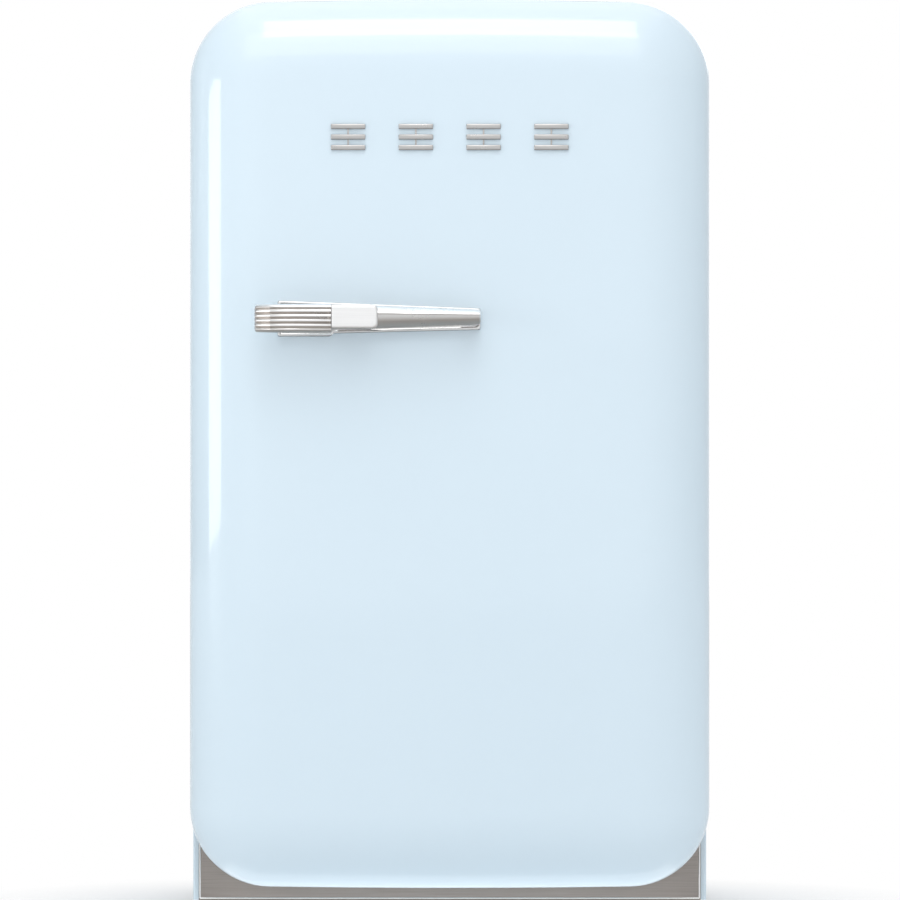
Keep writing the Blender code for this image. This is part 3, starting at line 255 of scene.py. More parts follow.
# shader tools
def place(tree, kind, settings=None, inputs=None):
    node = tree.nodes.new(kind)
    for key, value in (settings or {}).items():
        setattr(node, key, value)
    for key, value in (inputs or {}).items():
        if isinstance(value, bpy.types.NodeSocket):
            tree.links.new(value, node.inputs[key])
        else:
            node.inputs[key].default_value = value
    return node


def scaled(tree, value, low, high, fromLow=0.0, fromHigh=1.0):
    node = place(tree, "ShaderNodeMapRange", inputs={
        "Value": value, "From Min": fromLow, "From Max": fromHigh, "To Min": low, "To Max": high})
    return node.outputs["Result"]


def product(tree, a, b):
    return place(tree, "ShaderNodeMath", {"operation": "MULTIPLY"}, {0: a, 1: b}).outputs[0]


def mixed(tree, share, first, second):
    return place(tree, "ShaderNodeMix", {"data_type": "RGBA"}, {0: share, 6: first, 7: second}).outputs[2]


def noise(tree, scale, detail, roughness=0.5):
    spot = place(tree, "ShaderNodeTexCoord").outputs["Object"]
    return place(tree, "ShaderNodeTexNoise", inputs={
        "Vector": spot, "Scale": scale, "Detail": detail, "Roughness": roughness}).outputs["Fac"]


def normalUp(tree):
    normal = place(tree, "ShaderNodeNewGeometry").outputs["Normal"]
    return place(tree, "ShaderNodeSeparateXYZ", inputs={0: normal}).outputs["Z"]


def mottleMask(tree, given):
    return [noise(tree, given["Scale"], 5.0, 0.6)]


def wearMask(tree, given):
    rounded = place(tree, "ShaderNodeBevel", {"samples": 4}, {"Radius": given["Width"]}).outputs["Normal"]
    plain = place(tree, "ShaderNodeNewGeometry").outputs["Normal"]
    turn = place(tree, "ShaderNodeVectorMath", {"operation": "DOT_PRODUCT"}, {0: rounded, 1: plain})
    edge = scaled(tree, turn.outputs["Value"], 1.0, 0.0, 0.80, 0.995)
    broken = scaled(tree, noise(tree, given["Patchiness"], 3.0), 0.0, 1.0, 0.42, 0.62)
    return [product(tree, edge, broken)]


def dustMask(tree, given):
    upward = scaled(tree, normalUp(tree), 0.0, 1.0, 0.3, 1.0)
    drift = scaled(tree, noise(tree, given["Scale"], 8.0, 0.7), 0.0, 1.0, 0.35, 0.75)
    return [product(tree, product(tree, upward, drift), given["Amount"])]


# painted shade: faces that turn downward get a mask that darkens their colour, standing in for the shade
# beneath a part
def undersideMask(tree, given):
    downward = product(tree, normalUp(tree), -1.0)
    return [scaled(tree, downward, 0.0, 1.0, given["Start"], given["End"])]


def drawnTexture(tree, given, kind, settings, inputs):
    spot = place(tree, "ShaderNodeTexCoord").outputs["Object"]
    drawn = place(tree, "ShaderNodeVectorMath", {"operation": "MULTIPLY"}, {0: spot, 1: given["Stretch"]})
    return place(tree, kind, settings, {
        "Vector": drawn.outputs["Vector"], "Scale": given["Scale"], **inputs}).outputs


def peelPattern(tree, given):
    return [drawnTexture(tree, given, "ShaderNodeTexNoise", {}, {"Detail": 1.0})["Fac"]] * 2


def brushedPattern(tree, given):
    return [drawnTexture(tree, given, "ShaderNodeTexNoise", {}, {"Detail": 4.0})["Fac"]] * 2


def mouldedPattern(tree, given):
    return [drawnTexture(tree, given, "ShaderNodeTexVoronoi", {"feature": "SMOOTH_F1"}, {})["Distance"]] * 2


def spanglePattern(tree, given):
    crystals = drawnTexture(tree, given, "ShaderNodeTexVoronoi", {"feature": "F1"}, {})
    tone = place(tree, "ShaderNodeSeparateColor", inputs={0: crystals["Color"]})
    return [crystals["Distance"], tone.outputs[0]]


# each shared effect: its inputs, its outputs and the function that builds it
masks, patterns = ["Mask"], ["Height", "Shade"]
effects = {
    "handlingMottle": ({"Scale": 12.0}, masks, mottleMask),
    "edgeWear": ({"Width": 0.001, "Patchiness": 60.0}, masks, wearMask),
    "settledDust": ({"Scale": 40.0, "Amount": 1.0}, masks, dustMask),
    "undersideShade": ({"Start": 0.05, "End": 0.6}, masks, undersideMask),
    "sprayedPeel": ({"Scale": 260.0, "Stretch": (1.0, 1.0, 1.0)}, patterns, peelPattern),
    "brushedLines": ({"Scale": 900.0, "Stretch": (0.02, 1.0, 1.0)}, patterns, brushedPattern),
    "mouldedTexture": ({"Scale": 1400.0, "Stretch": (1.0, 1.0, 1.0)}, patterns, mouldedPattern),
    "zincSpangle": ({"Scale": 110.0, "Stretch": (1.0, 1.0, 1.0)}, patterns, spanglePattern),
}


def addEffect(tree, name, inputs):
    group = bpy.data.node_groups.get(name)
    if not group:
        group = bpy.data.node_groups.new(name, "ShaderNodeTree")
        defaults, outputs, build = effects[name]
        for label, value in defaults.items():
            kind = "NodeSocketVector" if isinstance(value, tuple) else "NodeSocketFloat"
            socket = group.interface.new_socket(name=label, in_out="INPUT", socket_type=kind)
            socket.default_value = value
        for label in outputs:
            group.interface.new_socket(name=label, in_out="OUTPUT", socket_type="NodeSocketFloat")
        given = group.nodes.new("NodeGroupInput").outputs
        result = group.nodes.new("NodeGroupOutput").inputs
        for label, value in zip(outputs, build(group, given)):
            group.links.new(value, result[label])
    return place(tree, "ShaderNodeGroup", {"node_tree": group}, inputs).outputs


# finishes, one entry each: what a user would change
looks = {
    "blueEnamel": {"slot": "blue_enamel", "color": (0.695, 0.818, 0.900), "tint": (0.685, 0.810, 0.893),
                   "roughness": (0.22, 0.28), "coat": 1.0, "coatRoughness": 0.035, "mottle": 6,
                   "pattern": "sprayedPeel", "scale": 240, "bump": 0.005, "shade": 0.0},
    "whiteEnamel": {"slot": "white_enamel", "color": (0.83, 0.85, 0.85), "tint": (0.79, 0.81, 0.81),
                    "roughness": (0.25, 0.34), "coat": 0.5, "coatRoughness": 0.08, "mottle": 14,
                    "pattern": "sprayedPeel", "scale": 420, "bump": 0.06, "shade": 0.02},
    "whitePlastic": {"slot": "white_plastic", "color": (0.82, 0.84, 0.85), "tint": (0.78, 0.80, 0.80),
                     "roughness": (0.26, 0.38), "mottle": 18, "pattern": "mouldedTexture", "scale": 1500,
                     "bump": 0.05, "shade": 0.03},
    "foamCore": {"slot": "insulation_foam", "color": (0.80, 0.70, 0.42), "tint": (0.66, 0.55, 0.30),
                 "roughness": (0.85, 0.97), "mottle": 60, "pattern": "mouldedTexture", "scale": 700,
                 "bump": 0.6, "shade": 0.2},
    "zincSteel": {"slot": "zinc_steel", "color": (0.62, 0.64, 0.66), "tint": (0.50, 0.52, 0.54),
                  "metallic": 1.0, "roughness": (0.32, 0.48), "mottle": 30, "pattern": "zincSpangle",
                  "scale": 190, "bump": 0.03, "shade": 0.12, "wear": (0.75, 0.76, 0.78), "dust": 0.4},
    "plinthSteel": {"slot": "satin_steel", "color": (0.37, 0.335, 0.308), "tint": (0.315, 0.285, 0.262),
                    "metallic": 0.9, "roughness": (0.30, 0.40), "mottle": 10, "pattern": "brushedLines",
                    "scale": 1200, "stretch": (0.02, 1.0, 1.0), "bump": 0.05, "shade": 0.12,
                    "wear": (0.60, 0.59, 0.58)},
    "footRubber": {"slot": "foot_rubber", "color": (0.035, 0.035, 0.036), "tint": (0.06, 0.058, 0.056),
                   "roughness": (0.62, 0.85), "mottle": 90, "pattern": "mouldedTexture", "scale": 900,
                   "bump": 0.25, "shade": 0.2, "dust": 0.6},
    "bracketChrome": {"slot": "bracket_chrome", "color": (0.80, 0.80, 0.81), "tint": (0.68, 0.68, 0.69),
                      "metallic": 1.0, "roughness": (0.10, 0.2), "mottle": 60, "pattern": "brushedLines",
                      "scale": 800, "stretch": (1.0, 1.0, 0.05), "bump": 0.02, "shade": 0.05,
                      "wear": (0.9, 0.9, 0.9)},
    # the "under" colour and its span paint shade onto the downward-facing faces of these finishes
    "trimChrome": {"slot": "trim_chrome", "color": (0.88, 0.87, 0.86), "tint": (0.80, 0.79, 0.78),
                   "under": (0.42, 0.40, 0.39), "underShadeSpan": (0.10, 0.8),
                   "metallic": 1.0, "roughness": (0.14, 0.22), "mottle": 50, "pattern": "brushedLines",
                   "scale": 1000, "stretch": (0.03, 1.0, 1.0), "bump": 0.015, "shade": 0.05},
    "badgeSatin": {"slot": "trim_chrome", "color": (0.62, 0.605, 0.59), "tint": (0.55, 0.535, 0.52),
                   "under": (0.22, 0.21, 0.20), "underShadeSpan": (0.12, 0.7),
                   "metallic": 1.0, "roughness": (0.24, 0.34), "mottle": 60, "pattern": "brushedLines",
                   "scale": 1300, "stretch": (0.03, 1.0, 1.0), "bump": 0.02, "shade": 0.06},
    "satinNickel": {"slot": "satin_nickel", "color": (0.97, 0.962, 0.95), "tint": (0.93, 0.92, 0.91),
                    "under": (0.38, 0.335, 0.30), "underShadeSpan": (0.02, 0.66),
                    "metallic": 1.0, "roughness": (0.24, 0.34), "mottle": 40, "pattern": "brushedLines",
                    "scale": 1500, "stretch": (0.02, 1.0, 1.0), "bump": 0.03, "shade": 0.06},
    "pinSteel": {"slot": "pin_steel", "color": (0.60, 0.60, 0.62), "tint": (0.46, 0.46, 0.48),
                 "metallic": 1.0, "roughness": (0.22, 0.36), "mottle": 150, "pattern": "brushedLines",
                 "scale": 1500, "stretch": (1.0, 1.0, 0.05), "bump": 0.08, "shade": 0.15},
    "shelfGlass": {"slot": "shelf_glass", "color": (0.93, 0.985, 0.965), "tint": (0.90, 0.97, 0.95),
                   "roughness": (0.012, 0.03), "ior": 1.5, "transmission": 1.0, "mottle": 15,
                   "pattern": "sprayedPeel", "scale": 60, "bump": 0.004, "shade": 0.0},
    "finAluminium": {"slot": "fin_aluminium", "color": (0.74, 0.75, 0.76), "tint": (0.62, 0.63, 0.64),
                     "metallic": 1.0, "roughness": (0.28, 0.42), "mottle": 40, "pattern": "brushedLines",
                     "scale": 1100, "stretch": (1.0, 1.0, 0.03), "bump": 0.05, "shade": 0.12,
                     "wear": (0.85, 0.86, 0.87), "dust": 0.3},
    "blackSteel": {"slot": "black_steel", "color": (0.022, 0.022, 0.024), "tint": (0.045, 0.043, 0.042),
                   "roughness": (0.32, 0.5), "coat": 0.3, "coatRoughness": 0.2, "mottle": 35,
                   "pattern": "sprayedPeel", "scale": 500, "bump": 0.12, "shade": 0.1,
                   "wear": (0.16, 0.15, 0.15), "dust": 0.8},
    "lensPlastic": {"slot": "lens_plastic", "color": (0.95, 0.955, 0.95), "tint": (0.90, 0.91, 0.90),
                    "roughness": (0.12, 0.2), "ior": 1.49, "transmission": 0.75, "mottle": 60,
                    "pattern": "mouldedTexture", "scale": 900, "bump": 0.05, "shade": 0.0},
    "binPlastic": {"slot": "bin_plastic", "color": (0.90, 0.95, 0.975), "tint": (0.87, 0.93, 0.96),
                   "roughness": (0.05, 0.11), "ior": 1.45, "transmission": 0.9, "mottle": 20,
                   "pattern": "sprayedPeel", "scale": 150, "bump": 0.01, "shade": 0.0},
    "blackPlastic": {"slot": "black_plastic", "color": (0.025, 0.025, 0.027), "tint": (0.04, 0.04, 0.041),
                     "roughness": (0.38, 0.52), "mottle": 70, "pattern": "mouldedTexture", "scale": 1300,
                     "bump": 0.15, "shade": 0.1, "wear": (0.10, 0.10, 0.10), "dust": 0.4},
    "gasketRubber": {"slot": "gasket_rubber", "color": (0.72, 0.745, 0.755), "tint": (0.66, 0.68, 0.69),
                     "roughness": (0.45, 0.6), "mottle": 50, "pattern": "mouldedTexture", "scale": 1200,
                     "bump": 0.06, "shade": 0.05},
    "bushNylon": {"slot": "bush_nylon", "color": (0.82, 0.80, 0.73), "tint": (0.76, 0.74, 0.67),
                  "roughness": (0.35, 0.5), "mottle": 160, "pattern": "mouldedTexture", "scale": 1500,
                  "bump": 0.08, "shade": 0.05},
    "magnetIron": {"slot": "magnet_iron", "color": (0.16, 0.16, 0.165), "tint": (0.11, 0.11, 0.115),
                   "metallic": 0.6, "roughness": (0.4, 0.6), "mottle": 200, "pattern": "mouldedTexture",
                   "scale": 1600, "bump": 0.15, "shade": 0.1},
    "markingInk": {"slot": "black_plastic", "color": (0.10, 0.11, 0.12), "tint": (0.14, 0.15, 0.16),
                   "roughness": (0.5, 0.6), "mottle": 90, "pattern": "mouldedTexture", "scale": 1500,
                   "bump": 0.02, "shade": 0.03},
}
dustTone = (0.42, 0.40, 0.37, 1)
mottleSpan = (0.18, 0.82)


def finish(name):
    made = bpy.data.materials.get(name)
    if made:
        return made
    look = looks[name]
    made = bpy.data.materials.new(name)
    made.use_nodes = True
    tree = made.node_tree
    shader = tree.nodes["Principled BSDF"].inputs
    for label, key, plain in (("Metallic", "metallic", 0.0), ("Coat Weight", "coat", 0.0),
                              ("Coat Roughness", "coatRoughness", 0.03), ("IOR", "ior", 1.5),
                              ("Transmission Weight", "transmission", 0.0)):
        shader[label].default_value = look.get(key, plain)

    mottle = addEffect(tree, "handlingMottle", {"Scale": float(look["mottle"])})["Mask"]
    pattern = addEffect(tree, look["pattern"], {
        "Scale": float(look["scale"]), "Stretch": look.get("stretch", (1.0, 1.0, 1.0))})
    drift = scaled(tree, mottle, 0.0, 1.0, *mottleSpan)
    color = mixed(tree, drift, (*look["color"], 1), (*look["tint"], 1))
    if look["shade"]:
        darker = tuple(part * (1 - look["shade"]) for part in look["tint"])
        color = mixed(tree, scaled(tree, pattern["Shade"], 0.0, 1.0, 0.25, 0.85), color, (*darker, 1))
    rough = scaled(tree, mottle, *look["roughness"], *mottleSpan)
    if "wear" in look:
        worn = addEffect(tree, "edgeWear", {"Width": 0.0009, "Patchiness": 120.0})["Mask"]
        color = mixed(tree, worn, color, (*look["wear"], 1))
    if "dust" in look:
        dust = addEffect(tree, "settledDust", {"Scale": 90.0, "Amount": look["dust"]})["Mask"]
        color = mixed(tree, dust, color, dustTone)
        rough = place(tree, "ShaderNodeMix", {"data_type": "FLOAT"}, {0: dust, 2: rough, 3: 0.9}).outputs[0]
    # painted shade: downward-facing faces blend towards the darker "under" colour
    if "under" in look:
        start, end = look["underShadeSpan"]
        shadeBelow = addEffect(tree, "undersideShade", {"Start": start, "End": end})["Mask"]
        color = mixed(tree, shadeBelow, color, (*look["under"], 1))
    bump = place(tree, "ShaderNodeBump", inputs={
        "Strength": look["bump"], "Distance": 0.0006, "Height": pattern["Height"]})
    tree.links.new(color, shader["Base Color"])
    tree.links.new(rough, shader["Roughness"])
    tree.links.new(bump.outputs["Normal"], shader["Normal"])
    return made


# camera, light and floor
cardDepth = doorLow.y + 0.0435
studio = {
    "cameraDistance": 6.0, "viewWidth": 0.702, "viewCentre": (0.0002, 0.3644), "sensorWidth": 36,
    "leftStrip": {"angle": 56.5, "distance": 1.5, "size": (0.54, 0.48), "power": 3.0, "roll": 3,
                  "height": 0.51},
    "topStrip": {"angle": 52.7, "distance": 1.5, "size": (0.62, 0.68), "power": 3.6},
    "panels": {
        "overheadPanel": {"at": (0, -0.2, 3.2), "target": (0, -0.2, 0), "size": (3.0, 3.0), "power": 8.0},
        "frontPanel": {"at": (-0.6, -4.5, 3.6), "size": (3.2, 2.4), "power": 18.8},
        "leftPanel": {"at": (-2.2, -0.45, 0.95), "target": (-0.2, -0.2, 0.60), "size": (0.6, 0.6),
                      "power": 0.37, "spread": 34},
        "rightPanel": {"at": (2.8, -1.6, 1.6), "size": (1.8, 1.8), "power": 1.0},
        "lowFrontCard": {"at": (0, cardDepth, 0.004), "target": (0, cardDepth, 1.004),
                         "size": (0.40, 0.067), "power": 0.052},
        "rearPanelLight": {"at": (1.5, 3.6, 2.0), "size": (2.2, 2.0), "power": 9}},
    "skyLight": 1.08, "skyColor": (0.97, 0.985, 1.0, 1), "leftDim": 0.93, "rightDim": 0.60,
    "floorColors": ((0.84, 0.85, 0.86, 1), (0.81, 0.82, 0.83, 1)), "floorFade": (0.14, 0.42),
    "floorRings": (0.2, 0.6, 1.2, 2.5, 5, 12),
}


def addSoftbox(name, at, target, size, power, roll=0.0):
    light = bpy.data.lights.new(name, "AREA")
    light.shape = "RECTANGLE"
    light.size, light.size_y = size
    light.energy = power
    lamp = bpy.data.objects.new(name, light)
    bpy.context.scene.collection.objects.link(lamp)
    lamp.location = at
    lamp.rotation_euler = (Vector(target) - Vector(at)).to_track_quat("-Z", "Y").to_euler()
    lamp.rotation_euler.rotate_axis("Z", math.radians(roll))
    lamp.visible_camera = False
    return lamp


def buildStudio():
    scene = bpy.context.scene
    scene.view_settings.view_transform = "Standard"
    eyeX, eyeZ = studio["viewCentre"]
    camera = bpy.data.objects.new("camera", bpy.data.cameras.new("camera"))
    scene.collection.objects.link(camera)
    camera.location = (eyeX, doorLow.y - studio["cameraDistance"] + 0.05, eyeZ)
    camera.rotation_euler = (math.radians(90), 0, 0)
    camera.data.sensor_width = studio["sensorWidth"]
    camera.data.lens = studio["sensorWidth"] * studio["cameraDistance"] / studio["viewWidth"]
    camera.data.clip_end = 60
    scene.camera = camera
    buildWorld()

    side = studio["leftStrip"]
    angle = math.radians(side["angle"])
    reach = Vector((-math.sin(angle), -math.cos(angle), 0)) * side["distance"]
    edge = Vector((doorLow.x, doorLow.y, side["height"]))
    addSoftbox("leftSoftbox", edge + reach, edge, side["size"], side["power"], side["roll"])
    over = studio["topStrip"]
    angle = math.radians(over["angle"])
    reach = Vector((0, -math.cos(angle), math.sin(angle))) * over["distance"]
    edge = Vector((0, doorLow.y, doorHigh.z))
    addSoftbox("topSoftbox", edge + reach, edge, over["size"], over["power"])
    for name, panel in studio["panels"].items():
        target = panel.get("target", (doorLow + doorHigh) / 2)
        lamp = addSoftbox(name, panel["at"], target, panel["size"], panel["power"])
        if "spread" in panel:
            lamp.data.spread = math.radians(panel["spread"])
            lamp.visible_glossy = False

    bm = bmesh.new()
    rings = [circleAt((0, 0, 0), (0, 0, 1), radius, 64) for radius in studio["floorRings"]]
    addLoft(bm, rings, capEnd=False)
    floor = link(bm, "floor", 60)
    floor.data.materials.append(floorFinish())


def buildWorld():
    world = bpy.data.worlds.new("studioAir")
    bpy.context.scene.world = world
    world.use_nodes = True
    tree = world.node_tree
    tree.nodes.clear()
    spot = place(tree, "ShaderNodeTexCoord").outputs["Generated"]
    across = place(tree, "ShaderNodeSeparateXYZ", inputs={0: spot}).outputs["X"]
    left = scaled(tree, across, 1 - studio["leftDim"], 1.0, -1.0, -0.25)
    right = scaled(tree, across, 1.0, 1 - studio["rightDim"], 0.25, 1.0)
    level = product(tree, product(tree, left, right), studio["skyLight"])
    lit = place(tree, "ShaderNodeBackground", inputs={"Color": studio["skyColor"], "Strength": level})
    seen = place(tree, "ShaderNodeBackground", inputs={"Color": (1, 1, 1, 1)})
    direct = place(tree, "ShaderNodeLightPath").outputs["Is Camera Ray"]
    mix = place(tree, "ShaderNodeMixShader", inputs={0: direct, 1: lit.outputs[0], 2: seen.outputs[0]})
    place(tree, "ShaderNodeOutputWorld", inputs={0: mix.outputs[0]})


def floorFinish():
    material = bpy.data.materials.new("studioFloor")
    material.use_nodes = True
    tree = material.node_tree
    shader = tree.nodes["Principled BSDF"]
    shader.inputs["Roughness"].default_value = 0.7
    shader.inputs["Specular IOR Level"].default_value = 0.2
    grain = place(tree, "ShaderNodeTexNoise", inputs={"Scale": 3.0, "Detail": 4.0}).outputs["Fac"]
    tree.links.new(mixed(tree, grain, *studio["floorColors"]), shader.inputs["Base Color"])
    spot = place(tree, "ShaderNodeTexCoord").outputs["Object"]
    away = place(tree, "ShaderNodeVectorMath", {"operation": "LENGTH"}, {0: spot}).outputs["Value"]
    fade = scaled(tree, away, 0.0, 1.0, *studio["floorFade"])
    seen = place(tree, "ShaderNodeLightPath").outputs["Is Camera Ray"]
    white = place(tree, "ShaderNodeEmission", inputs={"Color": (1, 1, 1, 1), "Strength": 1.0})
    blend = place(tree, "ShaderNodeMixShader", inputs={
        0: product(tree, fade, seen), 1: shader.outputs[0], 2: white.outputs[0]})
    tree.links.new(blend.outputs[0], tree.nodes["Material Output"].inputs["Surface"])
    return material


# door skin
door = {"cornerRadius": 0.061, "bow": 0.004, "lowBow": 0.0024, "pillowDepth": 0.034, "pillowWidth": 0.060,
        "sheet": 0.002, "flange": 0.010, "edgeRoll": 0.0022, "cornerSteps": 18, "pillowSteps": 22}


def doorOutline(inset):
    radius = max(door["cornerRadius"] - inset, 0.006)
    return roundedOutline(doorHigh.x - inset, doorLow.z + inset, doorHigh.z - inset, radius,
                          steps=door["cornerSteps"], splits=11, bow=door["bow"],
                          lowBow=door["lowBow"])


def pillowRings(offset):
    rings = []
    for i in range(door["pillowSteps"] + 1):
        angle = math.radians(90 * i / door["pillowSteps"])
        across = math.cos(angle) / door["pillowWidth"]
        ahead = math.sin(angle) / door["pillowDepth"]
        length = math.hypot(across, ahead)
        inset = door["pillowWidth"] * (1 - math.cos(angle)) + offset * across / length
        depth = door["pillowDepth"] * math.sin(angle) - offset * ahead / length
        rings.append(atDepth(doorOutline(inset), doorLow.y + door["pillowDepth"] - depth))
    return rings


def pocketBoxes():
    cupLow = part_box("upper_hinge_cup")[0]
    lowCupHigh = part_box("lower_hinge_cup")[1]
    past = 0.02
    left, front, right, back = cupLow.x - gap, cupLow.y - gap, doorHigh.x + past, doorHigh.y + 0.012
    return (((left, front, cupLow.z - gap), (right, back, doorHigh.z + past)),
            ((left, front, doorLow.z - past), (right, back, lowCupHigh.z + gap)))


def makeDoorSkin():
    back, sheet, roll = doorHigh.y, door["sheet"], door["edgeRoll"]
    outer = [atDepth(doorOutline(door["flange"]), back)]
    outer += [atDepth(doorOutline(roll * across), back - roll * along) for across, along in quarterRound(6)]
    outer += pillowRings(0)
    outer.append(atDepth(doorOutline(door["pillowWidth"] + 0.002), doorLow.y))
    inner = [atDepth(doorOutline(door["flange"]), back - sheet), atDepth(doorOutline(sheet), back - sheet)]
    inner += pillowRings(sheet)[::2]
    bm = bmesh.new()
    addLoft(bm, inner[::-1] + outer)
    skin = finishPiece("doorSkin", bm, "blueEnamel", "door_skin", body="door", sharpAngle=30)
    carve(skin, *pocketBoxes())


# cabinet wrap and plinth
cabinet = {"cornerRadius": 0.061, "sheet": 0.0015, "flange": 0.0135, "edgeRoll": 0.0012, "steps": 20}


def archRing(inset, y, low):
    side = wrapHigh.x - inset
    radius = max(cabinet["cornerRadius"] - inset, 0.004)
    level = wrapHigh.z - inset - radius
    outline = [(side, low)] + arc(side - radius, level, radius, 0, cabinet["steps"])
    return atDepth(outline + arc(radius - side, level, radius, 90, cabinet["steps"]) + [(-side, low)], y)


def makeCabinetWrap():
    front, back = wrapLow.y, wrapHigh.y
    sheet, flange, roll = cabinet["sheet"], cabinet["flange"], cabinet["edgeRoll"]
    profile = [(sheet, back), (0, back)]
    profile += [(0, front + (back - front) * share) for share in (0.75, 0.5, 0.25)]
    profile += [(roll * along, front + roll * across) for across, along in quarterRound(5)]
    profile += [(flange, front), (flange, front + sheet), (sheet, front + sheet)]
    bm = bmesh.new()
    loops = [[bm.verts.new(point) for point in archRing(inset, y, wrapLow.z)] for inset, y in profile]
    for a, b in zip(loops, loops[1:] + loops[:1]):
        for i in range(len(a) - 1):
            bm.faces.new((a[i], a[i + 1], b[i + 1], b[i]))
    for end in (0, -1):
        bm.faces.new([loop[end] for loop in loops])
    finishPiece("cabinetWrap", bm, "blueEnamel", "cabinet_wrap", sharpAngle=30)


plinth = {"sheet": 0.0015, "bend": 0.0016, "endPinch": 0.0004, "edgeInset": 0.001, "edgeRadius": 0.0007}


def makePlinth():
    low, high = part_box("plinth")
    sheet, bend = plinth["sheet"], plinth["bend"]
    fold = wrapLow.z + 0.0001
    profile = [(low.y, high.z)]
    profile += [(low.y + bend * along, fold + bend * across) for across, along in quarterRound(4)]
    profile += [(high.y - sheet, fold), (high.y - sheet, low.z), (high.y, low.z),
                (high.y, fold + sheet), (low.y + sheet, fold + sheet), (low.y + sheet, high.z)]
    side = high.x
    rings = []
    for x, pinch in ((-side, plinth["endPinch"]), (-side + 0.0005, 0), (side - 0.0005, 0),
                     (side, plinth["endPinch"])):
        rings.append([(x, y + (pinch if y == low.y else 0), z) for y, z in profile])
    bm = bmesh.new()
    addLoft(bm, rings)
    finishPiece("plinthPanel", bm, "plinthSteel", "plinth")

    # half-round rolled edges down both ends and along the fold; they take the bright trim chrome rather than
    # the plinth's own satin steel, so besides the real reflections they carry a painted highlight along the
    # plinth's edges and fold
    bm = bmesh.new()
    foldZ = fold + bend - 0.0002
    end = side - plinth["edgeInset"]
    for edge in (((-end, foldZ), (-end, high.z)), ((end, foldZ), (end, high.z)),
                 ((-end, foldZ), (end, foldZ))):
        addTube(bm, atDepth(edge, low.y + 0.0002), plinth["edgeRadius"], sides=16)
    finishPiece("plinthHighlightEdges", bm, "trimChrome")


# handle: heights in the outlines count from the grip's middle
lever = {"ribs": 6, "ribDepth": 0.0013, "plateLength": 0.0355, "plateHalf": 0.0092, "plateRadius": 0.0038,
         "lift": 0.0011, "barHalf": (0.0090, 0.0056), "barDepth": (0.0165, 0.0128), "stations": 22}


def makeHandleBase():
    low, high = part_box("handle_base")
    gripLow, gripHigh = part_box("handle_grip")
    middle = (gripLow.z + gripHigh.z) / 2
    plateFront = high.y - 0.005
    bm = bmesh.new()
    corners = [(low.x + 0.0016, 0.0143), (high.x - 0.0014, 0.0084), (high.x - 0.0003, 0.0078),
               (high.x, 0.0064), (high.x, -0.0066), (high.x - 0.0004, -0.0080), (high.x - 0.0016, -0.0086),
               (-0.0905, -0.0113), (-0.0915, -0.0130), (-0.0935, -0.0137), (low.x + 0.0014, -0.0137),
               (low.x + 0.0004, -0.0133), (low.x, -0.0124), (low.x, 0.0128), (low.x + 0.0005, 0.0138)]
    steps = ((0, high.y), (0, plateFront + 0.0014), (0.0005, plateFront + 0.0004), (0.0013, plateFront),
             (0.0022, plateFront + 0.0003), (0.0026, plateFront + 0.0012))
    addLoft(bm, [insetRing(corners, inset, y, middle) for inset, y in steps])
    for left, right in ((-0.087, -0.061), (high.x - 0.016, high.x - 0.002)):
        addBlock(bm, (left, gripHigh.y + gap, middle - 0.0052),
                 (right, plateFront + 0.002, middle + 0.0052), bevel=0.0012)
    finishPiece("handleBase", bm, "trimChrome", "handle_base", body="door")


def insetRing(corners, inset, y, middle):
    centreX = sum(x for x, z in corners) / len(corners)
    return [(x - math.copysign(inset, x - centreX), y, middle + z - math.copysign(inset, z))
            for x, z in corners]


def makeHandleGrip():
    low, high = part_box("handle_grip")
    middle = (low.z + high.z) / 2
    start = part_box("handle_cap")[1].x + gap
    plateEnd = start + lever["plateLength"]
    barStart = plateEnd - 0.006
    stations = lever["stations"]
    bm = bmesh.new()
    rings = []
    for i in range(stations + 1):
        share = i / stations
        x = barStart + (high.x - barStart) * share
        half, depth = (first + (last - first) * share
                       for first, last in (lever["barHalf"], lever["barDepth"]))
        if i == stations:
            half -= 0.0016
            depth -= 0.0018
        if i == stations - 1:
            x = high.x - 0.0010
            half -= 0.0003
            depth -= 0.0003
        rings.append(barSection(x, middle + lever["lift"], half, high.y, depth))
    addLoft(bm, rings)
    plate = []
    for inset, depth in ((0, 0), (0, 0.0158), (0.0002, 0.0168), (0.0008, 0.0175), (0.0016, 0.0178),
                         (0.0024, 0.0178), (0.0032, 0.0178)):
        radius = lever["plateRadius"] - inset * 0.6
        half = lever["plateHalf"] - inset
        top, bottom, across = lever["lift"] + half, lever["lift"] - half, plateEnd - inset - radius
        outline = [(start, bottom), (across, bottom)] + arc(across, bottom + radius, radius, 270, 6)
        outline += arc(across, top - radius, radius, 0, 6) + [(start, top)]
        plate.append([(x, high.y - depth, middle + z) for x, z in outline])
    addLoft(bm, plate)
    finishPiece("handleGrip", bm, "satinNickel", "handle_grip", body="door", sharpAngle=28)


def barSection(x, middle, half, back, depth):
    # a bright upper slope meets a longer lower slope along a soft crest
    crest = half * 0.36
    shape = [(0.0, -half * 0.80), (0.0, half * 0.80), (depth * 0.28, half * 0.98), (depth * 0.42, half)]
    for k in range(1, 6):
        share = k / 6
        shape.append((depth * (0.42 + 0.54 * math.sin(math.radians(90 * share)) ** 0.9),
                      half - (half - crest * 1.15) * share))
    for k in range(5):
        share = k / 4
        shape.append((depth * (0.975 + 0.025 * math.sin(math.pi * share)), crest * (1.15 - 0.45 * share)))
    for k in range(1, 10):
        share = k / 9
        fall = 0.16 * share + 0.50 * share ** 3
        shape.append((depth * (0.975 - fall), crest * 0.70 - (crest * 0.70 + half) * share))
    return [(x, back - ahead, middle + z) for ahead, z in shape]


